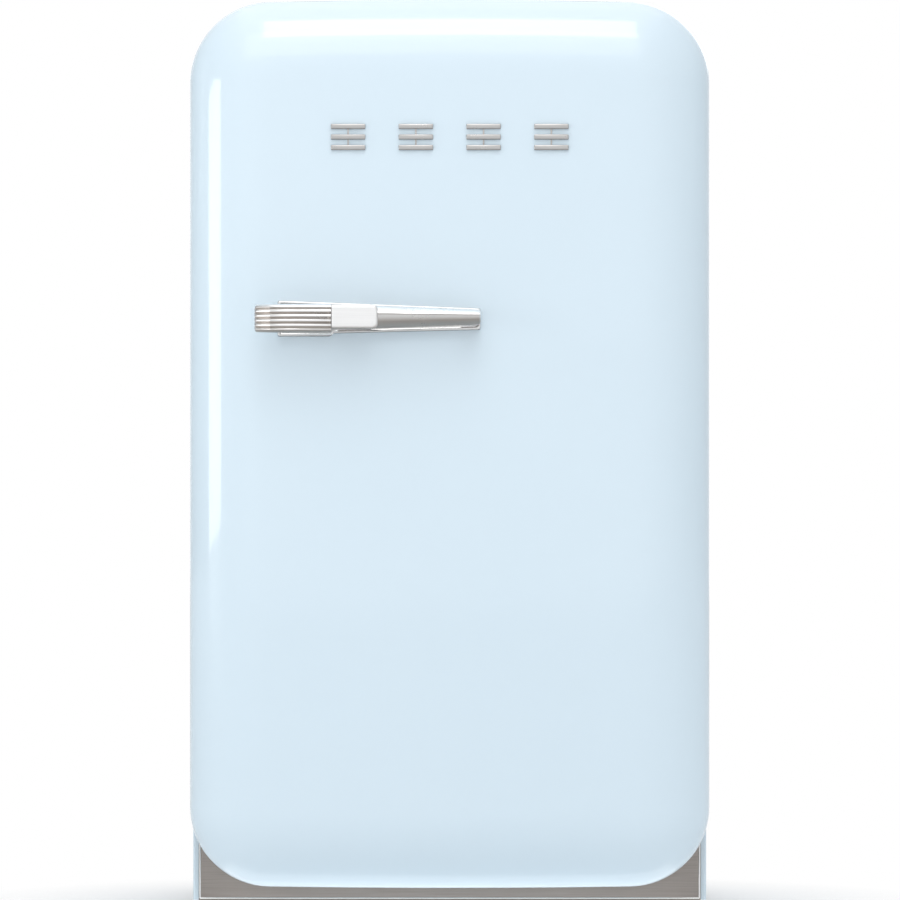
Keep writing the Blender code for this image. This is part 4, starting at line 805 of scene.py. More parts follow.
def makeHandleCap():
    low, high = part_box("handle_cap")
    middle, half, length = (low.z + high.z) / 2, (high.z - low.z) / 2, high.x - low.x
    ribs = lever["ribs"]
    steps = ribs * 10
    # how far along, how deep, and how much lower than the full height
    stations = ((0, 0.0105, 0.0022), (0.0006, 0.0122, 0.0010), (0.0016, 0.0134, 0.0003),
                (0.0115, 0.0170, 0), (0.0126, 0.0177, 0), (0.0310, 0.0179, 0), (0.0318, 0.0177, 0),
                (length - 0.0002, 0.0171, 0), (length, 0.0168, 0.0002))
    rings = []
    for along, depth, shrink in stations:
        x, reach = low.x + along, half - shrink
        ring = [(x, high.y, middle - reach + 0.0006), (x, high.y, middle + reach - 0.0006)]
        for i in range(steps + 1):
            share = i / steps
            groove = lever["ribDepth"] * abs(math.cos(share * ribs * math.pi)) ** 5
            edge = 0.0035 * (1 - 2 * share) ** 8
            ring.append((x, high.y - depth + groove + edge, middle + reach * (1 - 2 * share)))
        rings.append(ring)
    bm = bmesh.new()
    addLoft(bm, rings)
    finishPiece("handleCap", bm, "satinNickel", "handle_cap", body="door", sharpAngle=50)


# badge: a plain ornament of short level bars
badge = {"groups": 4, "rows": 3, "barLength": 0.0268, "stroke": 0.0040, "bevel": 0.0007, "spine": 0.0006}


def makeBadge():
    low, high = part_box("badge")
    pitch = (high.x - low.x - badge["barLength"]) / (badge["groups"] - 1)
    rise = (high.z - low.z - badge["stroke"]) / (badge["rows"] - 1)
    bm = bmesh.new()
    for group in range(badge["groups"]):
        left = low.x + group * pitch
        for row in range(badge["rows"]):
            bottom = low.z + row * rise
            addBlock(bm, (left, low.y, bottom),
                     (left + badge["barLength"], high.y, bottom + badge["stroke"]), badge["bevel"])
        spine = left + badge["barLength"] / 2
        addBlock(bm, (spine - badge["spine"], high.y - 0.0007, low.z + 0.001),
                 (spine + badge["spine"], high.y, high.z - 0.001), 0.0001)
    finishPiece("badgeOrnament", bm, "badgeSatin", "badge", body="door")


# door liner, gasket and hinge bushes
inner = {"surroundInset": 0.018, "surroundWidth": 0.014, "surroundRadius": 0.020, "wall": 0.002,
         "crownRadius": 0.0045, "footRadius": 0.003, "rimInset": 0.0103}


def surroundRing(inset, y):
    # the raised surround lies as far in from the cavity's walls on every side
    inset += inner["wall"] + inner["surroundInset"]
    radius = inner["surroundRadius"] + inner["wall"] + inner["surroundInset"] - inset
    return atDepth(roundedOutline(linerHigh.x - inset, linerLow.z + inset, linerHigh.z - inset,
                                  max(radius, 0.003), steps=door["cornerSteps"], splits=11), y)


def makeDoorLiner():
    low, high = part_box("door_liner")
    base = doorHigh.y
    crown, foot, wide, rim = (inner[key] for key in
                              ("crownRadius", "footRadius", "surroundWidth", "rimInset"))
    rings = [atDepth(doorOutline(rim), low.y), atDepth(doorOutline(rim), base - 0.0006),
             atDepth(doorOutline(rim + 0.0006), base)]
    turn = quarterRound(5)
    rings += [surroundRing(-foot * across, base + foot * along) for across, along in turn]
    rings += [surroundRing(crown * along, high.y - crown * across) for across, along in turn]
    rings += [surroundRing(wide - crown * across, high.y - crown * along) for across, along in turn]
    rings += [surroundRing(wide + foot / 2 * along, base + foot / 2 * across) for across, along in turn[:5]]
    rings.append(surroundRing(wide + 0.005, base))
    bm = bmesh.new()
    addLoft(bm, rings)
    wallX = linerHigh.x - inner["wall"] - inner["surroundInset"] - wide
    for level in ("upper", "lower"):
        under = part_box(f"{level}_door_bin")[0].z
        addSideBlocks(bm, wallX + 0.001, wallX - 0.007, (base - 0.001, under - 0.0055),
                      (high.y - 0.006, under - 0.0006), 0.0012)
    liner = finishPiece("doorLinerPanel", bm, "whitePlastic", "door_liner", body="door", sharpAngle=30)
    carve(liner, *pocketBoxes())


def makeGasket():
    low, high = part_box("door_gasket")
    # a bellows section: dart at the door, fold, and the magnet bulb against the cabinet
    section = [(0.0020, 0.0), (0.0130, 0.0), (0.0146, 0.10), (0.0136, 0.22), (0.0116, 0.34),
               (0.0130, 0.46), (0.0150, 0.56), (0.0150, 0.90), (0.0140, 1.0), (0.0012, 1.0),
               (0.0, 0.92), (0.0, 0.60), (0.0016, 0.48), (0.0034, 0.36), (0.0014, 0.22), (0.0006, 0.08)]
    rings = []
    for inset, share in section:
        outline = roundedOutline(high.x - inset, low.z + inset, high.z - inset,
                                 max(0.045 - inset, 0.004), steps=16, splits=5)
        rings.append(atDepth(outline, low.y + (high.y - low.y) * share))
    bm = bmesh.new()
    addLoft(bm, rings, closed=True)
    finishPiece("doorGasketSeal", bm, "gasketRubber", "door_gasket", body="door", sharpAngle=50)


def makeHingeBushes():
    for where, sign in (("upper", 1), ("lower", -1)):
        low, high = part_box(f"{where}_hinge_bush")
        length = high.z - low.z
        bm = bmesh.new()
        addTurned(bm, (hingeX, hingeY, high.z if sign > 0 else low.z), (0, 0, -sign), [
            (0.0034, 0), (0.0034, length), (0.0048, length), (0.0050, 0.0011), (0.0068, 0.0010),
            (0.0070, 0.0007), (0.0070, 0.0003), (0.0067, 0)], closed=True)
        finishPiece(f"{where}HingeBush", bm, "bushNylon", f"{where}_hinge_bush", body="door")
        dress(f"{where}_hinge_cup", "whitePlastic")


# hinges
def makeHinges():
    for where, sign in (("upper", 1), ("lower", -1)):
        low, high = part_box(f"{where}_hinge_bracket")
        lugLow, lugHigh = (low.z, low.z + 0.003) if sign > 0 else (high.z - 0.003, high.z)
        radius = (high.x - low.x) / 2
        bm = bmesh.new()
        outline = [(low.x, high.y), (low.x, hingeY)] + arc(hingeX, hingeY, radius, 180, 20, 180)[1:20]
        outline += [(high.x, hingeY), (high.x, high.y)]
        rings = []
        for shrink, z in ((0.0005, lugLow), (0, lugLow + 0.0005), (0, lugHigh - 0.0005), (0.0005, lugHigh)):
            rings.append([(hingeX + (x - hingeX) * (1 - shrink / radius), y + shrink * (y < hingeY), z)
                          for x, y in outline])
        addLoft(bm, rings)
        addBlock(bm, (low.x, high.y - 0.0022, low.z), (high.x, high.y, high.z), bevel=0.0007)
        finishPiece(f"{where}HingeBracket", bm, "bracketChrome", f"{where}_hinge_bracket")

        bm = bmesh.new()
        pinLow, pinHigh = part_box(f"{where}_hinge_pin")
        length = pinHigh.z - pinLow.z
        addTurned(bm, (hingeX, hingeY, pinHigh.z if sign > 0 else pinLow.z), (0, 0, -sign), [
            (0.0012, 0), (0.0036, 0.0002), (0.0046, 0.0008), (0.0050, 0.0016), (0.0050, 0.0020),
            (0.0030, 0.0021), (0.0030, length - 0.0012), (0.0020, length)])
        finishPiece(f"{where}HingePin", bm, "pinSteel", f"{where}_hinge_pin")

        bm = bmesh.new()
        for share in (0.30, 0.72):
            z = low.z + (high.z - low.z) * share
            if lugLow - 0.005 < z < lugHigh + 0.005:
                z = lugHigh + 0.006 if sign > 0 else lugLow - 0.006
            addScrew(bm, (hingeX, high.y - 0.0021, z), (0, -1, 0), radius=0.0034, height=0.0014)
        finishPiece(f"{where}HingeScrews", bm, "pinSteel")


# inside of the cabinet
cavity = {"wall": 0.002, "radius": 0.012, "backRadius": 0.012, "ledge": 0.006, "ledgeHeight": 0.008}


def cavityRing(inset, y, radius):
    inset += cavity["wall"]
    radius -= (inset - cavity["wall"]) * 0.5
    return atDepth(roundedOutline(linerHigh.x - inset, linerLow.z + inset, linerHigh.z - inset,
                                  max(radius, 0.003)), y)


def makeCavity():
    wall, radius, bend = cavity["wall"], cavity["radius"], cavity["backRadius"]
    front, back = linerLow.y, linerHigh.y
    depth = back - wall
    rings = [cavityRing(-wall, back, radius + wall), cavityRing(-wall, front + 0.0002, radius + wall),
             cavityRing(-wall + 0.0002, front, radius + wall), cavityRing(-0.0014, front, radius),
             cavityRing(-0.0005, front + 0.0004, radius), cavityRing(0, front + 0.0018, radius)]
    rings += [cavityRing(0, front + (depth - bend - front) * share, radius) for share in (0.25, 0.5, 0.75)]
    rings += [cavityRing(bend * along, depth - bend * across, radius + bend * 0.5)
              for across, along in quarterRound(7)]
    rings.append(cavityRing(bend + 0.004, depth, radius + 0.006))
    bm = bmesh.new()
    addLoft(bm, rings)
    side = linerHigh.x - wall
    ledge = side - cavity["ledge"]
    for level in ("upper", "lower"):
        glassLow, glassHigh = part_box(f"{level}_shelf_glass")
        addSideBlocks(bm, side + 0.001, ledge, (glassLow.y - 0.014, glassLow.z - cavity["ledgeHeight"]),
                      (depth - 0.001, glassLow.z - gap), 0.0018)
        addSideBlocks(bm, side + 0.001, ledge + 0.003, (glassLow.y - 0.012, glassHigh.z + 0.003),
                      (depth - 0.030, glassHigh.z + 0.008), 0.0012)
    # a drain gutter below the drip tray
    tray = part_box("drip_tray")[0]
    addBlock(bm, (-0.006, depth - 0.006, glassLow.z + 0.02), (0.006, depth + 0.001, tray.z - 0.004), 0.002)
    finishPiece("cavityLiner", bm, "whitePlastic", "cabinet_liner", sharpAngle=30)


def makeFrontFrame():
    low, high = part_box("front_frame")
    outer = roundedOutline(high.x, low.z, high.z, 0.0475, 0.002, steps=12)
    bore = 0.0023
    inset = cavity["wall"] - bore
    hole = roundedOutline(linerHigh.x - inset, linerLow.z + inset, linerHigh.z - inset,
                          cavity["radius"] + bore, steps=12)
    rings = [atDepth(outer, low.y + 0.0003), atDepth([(x * 0.999, z) for x, z in outer], low.y),
             atDepth(hole, low.y), atDepth(hole, high.y), atDepth(outer, high.y)]
    bm = bmesh.new()
    addLoft(bm, rings, closed=True)
    finishPiece("frontFrame", bm, "whiteEnamel", "front_frame")


shelf = {"noseDepth": 0.0028, "slotDepth": 0.003, "rearStrip": 0.006}


def makeShelves():
    for level in ("upper", "lower"):
        glassLow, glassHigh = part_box(f"{level}_shelf_glass")
        low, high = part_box(f"{level}_shelf_trim")
        bm = bmesh.new()
        addBlock(bm, glassLow, glassHigh, bevel=0.0007)
        finishPiece(f"{level}ShelfGlass", bm, "shelfGlass", f"{level}_shelf_glass")

        bm = bmesh.new()
        middle, half, nose = (low.z + high.z) / 2, (high.z - low.z) / 2, shelf["noseDepth"]
        lowLip, highLip, root = glassLow.z - gap, glassHigh.z + gap, low.y + shelf["slotDepth"]
        profile = [(high.y, high.z)]
        profile += [(low.y + nose + nose * across, middle + half * up)
                    for across, up in arc(0, 0, 1, 90, 12, 180)]
        profile += [(high.y, low.z), (high.y, lowLip), (root, lowLip), (root, highLip), (high.y, highLip)]
        rings = []
        for x, pinch in ((low.x, 0.94), (low.x + 0.0006, 1), (high.x - 0.0006, 1), (high.x, 0.94)):
            rings.append([(x, y, middle + (z - middle) * pinch) for y, z in profile])
        addLoft(bm, rings)
        addBlock(bm, (low.x, glassHigh.y - shelf["rearStrip"], glassHigh.z + 0.0002),
                 (high.x, glassHigh.y, glassHigh.z + 0.0016), bevel=0.0005)
        finishPiece(f"{level}ShelfTrim", bm, "trimChrome", f"{level}_shelf_trim")


bins = {"wall": 0.002, "cornerRadius": 0.014, "backRadius": 0.006, "rim": 0.0026, "draft": 0.0025,
        "footRadius": 0.003, "innerFootRadius": 0.0025, "railRadius": 0.003}


def makeBins():
    wall, draft, foot, innerFoot = (bins[key] for key in ("wall", "draft", "footRadius", "innerFootRadius"))
    for level in ("upper", "lower"):
        low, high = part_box(f"{level}_door_bin")
        steps = [(draft + foot * across, low.z + foot * along) for across, along in quarterRound(5)]
        steps += [(0.0012, high.z - 0.006), (0.0002, high.z - 0.0052), (0, high.z - 0.0012),
                  (0.0006, high.z - 0.0003), (0.0012, high.z), (bins["rim"], high.z - 0.0004),
                  (0.0012 + wall, high.z - 0.0058)]
        steps += [(draft + wall + innerFoot * across, low.z + wall + innerFoot * along)
                  for across, along in quarterRound(5)[::-1]]
        bm = bmesh.new()
        addLoft(bm, [planRing(low, high, inset, z, max(bins["cornerRadius"] - inset, 0.003),
                              max(bins["backRadius"] - inset, 0.002), 8) for inset, z in steps])
        finishPiece(f"{level}DoorBin", bm, "binPlastic", f"{level}_door_bin", body=f"{level}_bin",
                    sharpAngle=40)

    low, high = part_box("bottle_rail")
    radius = bins["railRadius"]
    z, reach, front = (low.z + high.z) / 2, high.x - radius, high.y - radius
    bm = bmesh.new()
    corners = [(-reach, low.y, z), (-reach, front, z), (reach, front, z), (reach, low.y, z)]
    addTube(bm, bentPath(corners, 0.008, steps=14), radius, sides=24)
    for sign in (-1, 1):
        addTurned(bm, (sign * reach, low.y - 0.0038, z), (0, 1, 0), [
            (0.0030, 0), (0.0046, 0.0003), (0.0050, 0.0010), (0.0048, 0.0045), (0.0034, 0.0062)])
    finishPiece("bottleRail", bm, "trimChrome", "bottle_rail", body="door")


# cold plate, drip tray, control and lamp
cold = {"fins": 11, "finThickness": 0.0022, "rootDepth": 0.012, "trayRadius": 0.005}


def makeEvaporator():
    low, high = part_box("evaporator_fins")
    root, thick = high.y - cold["rootDepth"], cold["finThickness"]
    pitch = (high.x - low.x - thick) / (cold["fins"] - 1)
    bm = bmesh.new()
    addBlock(bm, (low.x, root, low.z), (high.x, high.y, high.z), bevel=0.0012)
    for i in range(cold["fins"]):
        left = low.x + i * pitch
        addBlock(bm, (left, low.y, low.z + 0.0006), (left + thick, root + 0.002, high.z - 0.0006))
    finishPiece("evaporatorFins", bm, "finAluminium", "evaporator_fins")

    low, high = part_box("drip_tray")
    bm = bmesh.new()
    rings = []
    for inset, z in ((0.0018, low.z), (0.0004, low.z + 0.0006), (0, low.z + 0.0016), (0, high.z - 0.0012),
                     (-0.0004, high.z - 0.001), (-0.0004, high.z - 0.0003), (0, high.z), (0.0016, high.z),
                     (0.0022, high.z - 0.0008), (0.0024, low.z + 0.0034), (0.0036, low.z + 0.0022)):
        radius = max(cold["trayRadius"] - inset, 0.0015)
        rings.append(planRing(low, high, max(inset, 0), z, radius, radius, 6))
    addLoft(bm, rings)
    addTurned(bm, (0, high.y - 0.009, low.z + 0.001), (0, 0, -1), [
        (0.0052, 0), (0.0050, 0.004), (0.0042, 0.010), (0.0032, 0.0105), (0.0030, 0.001)], closed=True)
    finishPiece("dripTray", bm, "whitePlastic", "drip_tray")


control = {"wall": 0.002, "frontRadius": 0.006, "backRadius": 0.004, "endRound": 0.0006, "lensRibs": 16,
           "numberSize": 0.0052, "knobLobes": 24, "fluteDepth": 0.00035,
           "numberSpots": ((-0.0168, -0.0088), (-0.0190, 0.0), (-0.0168, 0.0088),
                           (0.0168, 0.0088), (0.0190, 0.0), (0.0168, -0.0088))}


def makeControl():
    low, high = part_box("control_housing")
    lensLow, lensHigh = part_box("lamp_lens")
    wall, front, back, end = (control[key] for key in ("wall", "frontRadius", "backRadius", "endRound"))
    stations = (low.x, low.x + end, high.x - end, high.x)
    bm = bmesh.new()
    # four walls with rounded lower edges, and a floor around the lens
    profile = [(high.y, high.z)] + arc(high.y - back, low.z + back, back, 0, 6, -90)
    profile += [(lensHigh.y + gap, low.z), (lensHigh.y + gap, low.z + wall), (high.y - wall, low.z + wall),
                (high.y - wall, high.z)]
    addExtrusion(bm, profile, stations)
    profile = [(low.y, high.z)]
    profile += [(low.y + front * along, low.z + front * across) for across, along in quarterRound(6)]
    profile += [(lensLow.y - gap, low.z), (lensLow.y - gap, low.z + wall), (low.y + front, low.z + wall),
                (low.y + wall, low.z + front), (low.y + wall, high.z)]
    addExtrusion(bm, profile, stations)
    addBlock(bm, (low.x, low.y + wall, low.z + 0.0012), (lensLow.x - gap, high.y - wall, high.z))
    addBlock(bm, (lensHigh.x + gap, lensLow.y - 0.0006, low.z),
             (high.x, lensHigh.y + 0.0006, low.z + wall), 0)
    addBlock(bm, (high.x - wall, low.y + wall, low.z + 0.0012), (high.x, high.y - wall, high.z), 0.0006)
    knob = middleOf("thermostat_knob")
    addTurned(bm, (knob.x, low.y + 0.0006, knob.z), (0, -1, 0), [
        (0.0125, 0), (0.0125, 0.0007), (0.0122, 0.0008), (0.0119, 0.0007), (0.0119, 0)], closed=True)
    finishPiece("controlHousing", bm, "whitePlastic", "control_housing")

    bm = bmesh.new()
    addBlock(bm, (lensLow.x, lensLow.y, lensLow.z + 0.0008), lensHigh, bevel=0.0006)
    ribs = control["lensRibs"]
    for i in range(ribs):
        x = lensLow.x + 0.004 + (lensHigh.x - lensLow.x - 0.008) * i / (ribs - 1)
        addBlock(bm, (x - 0.0013, lensLow.y + 0.002, lensLow.z),
                 (x + 0.0013, lensHigh.y - 0.002, lensLow.z + 0.0014), bevel=0.0006)
    finishPiece("lampLens", bm, "lensPlastic", "lamp_lens")
    makeKnob(knob.x, low.y, knob.z)
    makeDialNumbers(knob.x, low.y, knob.z)
    dress("thermostat_body", "zincSteel")


def makeKnob(x, y, z):
    rings = []
    for share, radius, along in ((0, 0.0030, -0.010), (0, 0.0030, 0), (1, 0.0112, 0), (1, 0.0115, 0.0006),
                                 (1, 0.0114, 0.0052), (1, 0.0102, 0.0058), (1, 0.0098, 0.0122),
                                 (0.6, 0.0092, 0.0134), (0, 0.0084, 0.0139), (0, 0.0040, 0.0140)):
        ring = []
        for i, spot in enumerate(circleAt((0, 0, 0), (0, -1, 0), 1.0, control["knobLobes"] * 6)):
            flute = control["fluteDepth"] * share * (along > 0.0055) * math.cos(math.tau * i / 6)
            ring.append((x + spot.x * (radius + flute), y - gap - along, z + spot.z * (radius + flute)))
        rings.append(ring)
    bm = bmesh.new()
    addLoft(bm, rings)
    finishPiece("thermostatKnob", bm, "blackPlastic", "thermostat_knob", body="knob")
    bm = bmesh.new()
    addBlock(bm, (x - 0.0005, y - 0.01445, z + 0.0030), (x + 0.0005, y - 0.0140, z + 0.0086), bevel=0.0002)
    finishPiece("knobPointer", bm, "whitePlastic", body="knob")


def makeDialNumbers(x, y, z):
    for number, (across, up) in enumerate(control["numberSpots"]):
        text = bpy.data.curves.new(f"dialNumber{number}", "FONT")
        text.body = str(number)
        text.size = control["numberSize"]
        text.align_x = "CENTER"
        text.align_y = "CENTER"
        text.extrude = 0.00005
        mark = bpy.data.objects.new(f"dialNumber{number}", text)
        bpy.context.scene.collection.objects.link(mark)
        mark.location = (x + across, y - 0.0001, z + up)
        mark.rotation_euler = (math.radians(90), 0, 0)
        text.materials.append(finish("markingInk"))
        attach(mark, "cabinet")


# cooling unit at the back
cooling = {"tube": 0.008, "bend": 0.020, "fins": 12, "finThickness": 0.0008, "collarLength": 0.0022,
           "collarWidth": 1.12, "passes": 4, "coilShare": 0.9, "casingSheet": 0.0012, "casingRelief": 0.0006}


def addFin(bm, left, low, high, centre, hole):
    # a thin fin across the tube, with a short collar drawn out around the bore
    circle = arc(0, 0, 1, 0, 32, 360)[:32]
    right = left + cooling["finThickness"]
    rim = right + cooling["collarLength"]
    outline = []
    for across, up in circle:
        reach = 1 / max(abs(across), abs(up))
        outline.append(((low[0] + high[0]) / 2 + (high[0] - low[0]) / 2 * across * reach,
                        (low[1] + high[1]) / 2 + (high[1] - low[1]) / 2 * up * reach))
    bore = [(centre[0] + hole * across, centre[1] + hole * up) for across, up in circle]
    wide = hole * cooling["collarWidth"]
    collar = [(centre[0] + wide * across, centre[1] + wide * up) for across, up in circle]
    rings = [[(x, y, z) for y, z in loop] for x, loop in (
        (left, outline), (right, outline), (right, collar), (rim, collar), (rim, bore), (left, bore))]
    addLoft(bm, rings, closed=True)


def addWeld(bm, spot, axis, radius):
    start = Vector(spot) - Vector(axis) * 0.0022
    addTurned(bm, start, axis, [(radius - 0.0004, 0), (radius + 0.0006, 0.0004), (radius + 0.0011, 0.0014),
                                (radius + 0.0012, 0.0024), (radius + 0.0007, 0.0038),
                                (radius - 0.0004, 0.0044)], sides=28)


def makeCoolingUnit():
    tube, bend = cooling["tube"], cooling["bend"]
    low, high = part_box("rising_tube")
    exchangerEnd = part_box("gas_heat_exchanger")[1].x
    y, topZ, startX = (low.y + high.y) / 2, high.z - tube, low.x + tube
    bm = bmesh.new()
    addTube(bm, bentPath([(startX, y, low.z), (startX, y, topZ), (high.x, y, topZ)], bend, 16), tube, 28)
    addWeld(bm, (startX, y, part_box("boiler_casing")[1].z + 0.014), (0, 0, 1), tube)
    finishPiece("risingTube", bm, "blackSteel", "rising_tube")

    low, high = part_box("condenser_tube")
    rightX, pipeZ = high.x - tube, low.z + tube
    corners = [(low.x, y, topZ), (rightX, y, topZ), (rightX, y, pipeZ), (exchangerEnd + gap, y, pipeZ)]
    bm = bmesh.new()
    addTube(bm, bentPath(corners, bend, 16), tube, 28)
    addWeld(bm, (low.x + 0.004, y, topZ), (1, 0, 0), tube)
    addWeld(bm, (exchangerEnd + 0.004, y, pipeZ), (1, 0, 0), tube)
    finishPiece("condenserTube", bm, "blackSteel", "condenser_tube")

    low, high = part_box("condenser_fins")
    pitch = (high.x - low.x - cooling["finThickness"] - 0.0024) / (cooling["fins"] - 1)
    bm = bmesh.new()
    for i in range(cooling["fins"]):
        addFin(bm, low.x + i * pitch, (low.y, low.z), (high.y - 0.0004, high.z), (y, topZ), tube + gap)
    addBlock(bm, (low.x, high.y - 0.0016, topZ - 0.012), (high.x, high.y, topZ + 0.012), bevel=0.0005)
    finishPiece("condenserFins", bm, "finAluminium", "condenser_fins")
    makeAbsorber(y)
    makeBoiler(y)


def makeAbsorber(y):
    tube, passes = cooling["tube"], cooling["passes"]
    coil = tube * cooling["coilShare"]
    low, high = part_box("absorber_vessel")
    radius, length = (high.z - low.z) / 2, high.x - low.x
    profile = [(radius * (0.14 + 0.85 * up), 0.016 * (1 - across)) for across, up in arc(0, 0, 1, 0, 8)]
    profile += [(radius * 0.985, 0.018), (radius, 0.0186), (radius, 0.0214), (radius * 0.985, 0.022)]
    profile += [(r, length - along) for r, along in profile[::-1]]
    bm = bmesh.new()
    addTurned(bm, (low.x, y, (low.z + high.z) / 2), (1, 0, 0), profile, sides=56)
    finishPiece("absorberVessel", bm, "blackSteel", "absorber_vessel")

    exchangerLow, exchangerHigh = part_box("gas_heat_exchanger")
    exchangerX = (exchangerLow.x + exchangerHigh.x) / 2
    startZ, endZ = high.z + gap, exchangerLow.z - gap
    left, right = low.x + tube, high.x - tube
    startX = right - 0.018
    pitch = (endZ - startZ) / (passes + 1.5)
    heights = [startZ + pitch * (i + 0.75) for i in range(passes + 1)]
    corners = [(startX, y, startZ), (startX, y, heights[0])]
    for i, z in enumerate(heights[:-1]):
        turnX = right if i % 2 else left
        corners += [(turnX, y, z), (turnX, y, heights[i + 1])]
    corners += [(exchangerX, y, heights[-1]), (exchangerX, y, endZ)]
    bm = bmesh.new()
    addTube(bm, bentPath(corners, min(pitch * 0.4, 0.018), steps=12), coil, sides=24)
    addWeld(bm, (exchangerX, y, endZ - 0.004), (0, 0, 1), coil)
    addWeld(bm, (startX, y, startZ + 0.004), (0, 0, 1), coil)
    finishPiece("absorberCoil", bm, "blackSteel", "absorber_coil")

    radius, length = (exchangerHigh.x - exchangerLow.x) / 2, exchangerHigh.z - exchangerLow.z
    profile = [(radius * 0.35, 0), (radius * 0.7, 0.0006), (radius * 0.93, 0.003), (radius * 0.985, 0.006),
               (radius, 0.0068), (radius, 0.0092), (radius * 0.985, 0.010)]
    profile += [(r, length - along) for r, along in profile[::-1]]
    bm = bmesh.new()
    addTurned(bm, (exchangerX, y, exchangerLow.z), (0, 0, 1), profile, sides=44)
    finishPiece("gasHeatExchanger", bm, "blackSteel", "gas_heat_exchanger")


def makeBoiler(y):
    low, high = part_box("boiler_casing")
    x, radius, length = (high.x + low.x) / 2, (high.x - low.x) / 2, high.z - low.z
    inside, plain = radius - cooling["casingSheet"], radius - cooling["casingRelief"]
    profile = [(inside, 0), (plain, 0), (radius - 0.0002, 0.0004)]
    for share in (0.045, 0.5, 0.955):
        middle = length * share
        profile += [(plain, middle - 0.004), (radius, middle - 0.0022), (radius, middle + 0.0022),
                    (plain, middle + 0.004)]
    profile += [(radius - 0.0002, length - 0.0004), (plain, length), (inside, length)]
    bm = bmesh.new()
    addTurned(bm, (x, y, low.z), (0, 0, 1), profile, sides=72, closed=True)
    finishPiece("boilerCasing", bm, "zincSteel", "boiler_casing")
    bm = bmesh.new()
    angle = math.radians(50)
    outward = Vector((math.cos(angle), math.sin(angle), 0))
    for i in range(5):
        addTurned(bm, Vector((x, y, low.z + length * (0.12 + 0.19 * i))) + outward * inside, outward,
                  [(0.0022, 0), (0.0022, 0.0014), (0.0014, 0.0020), (0.0005, 0.0021)], sides=18)
    finishPiece("boilerRivets", bm, "pinSteel")


rear = {"beadWidth": 0.007, "beadHeight": 0.0016, "beadHeights": (0.125, 0.215, 0.305, 0.395, 0.485),
        "screwRadius": 0.0036, "screwHeights": (0.085, 0.26, 0.44, 0.63)}


def makeRearPanel():
    dress("rear_panel", "zincSteel")
    face, side = panelHigh.y, wrapHigh.x - 0.030
    bm = bmesh.new()
    for z in rear["beadHeights"]:
        rings = []
        for x, size in ((-side, 0.05), (-side + 0.004, 1), (side - 0.004, 1), (side, 0.05)):
            rings.append([(x, face - 0.0002 + rear["beadHeight"] * rise * size,
                           z + rear["beadWidth"] / 2 * across * size)
                          for across, rise in arc(0, 0, 1, 0, 12, 180)])
        addLoft(bm, rings)
    finishPiece("rearPanelBeads", bm, "zincSteel")
    bm = bmesh.new()
    for sign in (-1, 1):
        for z in rear["screwHeights"]:
            addScrew(bm, (sign * (wrapHigh.x - 0.012), face, z), (0, 1, 0), rear["screwRadius"], 0.0015)
    finishPiece("rearPanelScrews", bm, "pinSteel")


def makeTerminalBox():
    low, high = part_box("terminal_box")
    coverLow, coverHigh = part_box("terminal_cover")
    wall = 0.002
    bm = bmesh.new()
    rings = []
    for inset, y in ((0.0012, low.y), (0.0003, low.y + 0.0003), (0, low.y + 0.0012), (0, high.y),
                     (wall, high.y), (wall, low.y + wall)):
        left, right, bottom, top = low.x + inset, high.x - inset, low.z + inset, high.z - inset
        rings.append(atDepth(((right, top), (left, top), (left, bottom), (right, bottom)), y))
    addLoft(bm, rings)
    for i in range(5):
        z = low.z + 0.012 + i * 0.0052
        addBlock(bm, (high.x - 0.0008, low.y + 0.010, z),
                 (high.x + 0.0004, high.y - 0.010, z + 0.0024), 0.0004)
    finishPiece("terminalBox", bm, "blackPlastic", "terminal_box")
    bm = bmesh.new()
    addBlock(bm, coverLow, coverHigh - Vector((0, 0.0008, 0)), bevel=0.0009)
    addBlock(bm, (coverLow.x + 0.010, coverHigh.y - 0.001, coverLow.z + 0.020),
             (coverHigh.x - 0.010, coverHigh.y, coverHigh.z - 0.020), bevel=0.0004)
    finishPiece("terminalCover", bm, "blackPlastic", "terminal_cover")
    bm = bmesh.new()
    for x in (coverLow.x + 0.008, coverHigh.x - 0.008):
        for z in (coverLow.z + 0.009, coverHigh.z - 0.009):
            addScrew(bm, (x, coverHigh.y - 0.0009, z), (0, 1, 0), 0.0032, 0.0013)
    finishPiece("terminalScrews", bm, "pinSteel")

    centre = middleOf("cord_gland")
    centre.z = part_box("cord_gland")[1].z
    profile = [(0.0042, 0), (0.0082, 0), (0.0085, 0.0004), (0.0085, 0.0030), (0.0082, 0.0034)]
    for i in range(7):
        along, outer = 0.0046 + i * 0.0020, 0.0079 - i * 0.00022
        profile += [(outer - 0.0007, along - 0.0006), (outer, along), (outer, along + 0.0007)]
    profile += [(0.0060, 0.0194), (0.0056, 0.020), (0.0042, 0.020), (0.0040, 0.0194)]
    bm = bmesh.new()
    addTurned(bm, centre, (0, 0, -1), profile, sides=36, closed=True)
    finishPiece("cordGland", bm, "blackPlastic", "cord_gland")


spacer = {"foot": 0.030, "ribs": 17, "ribMargin": 0.012}


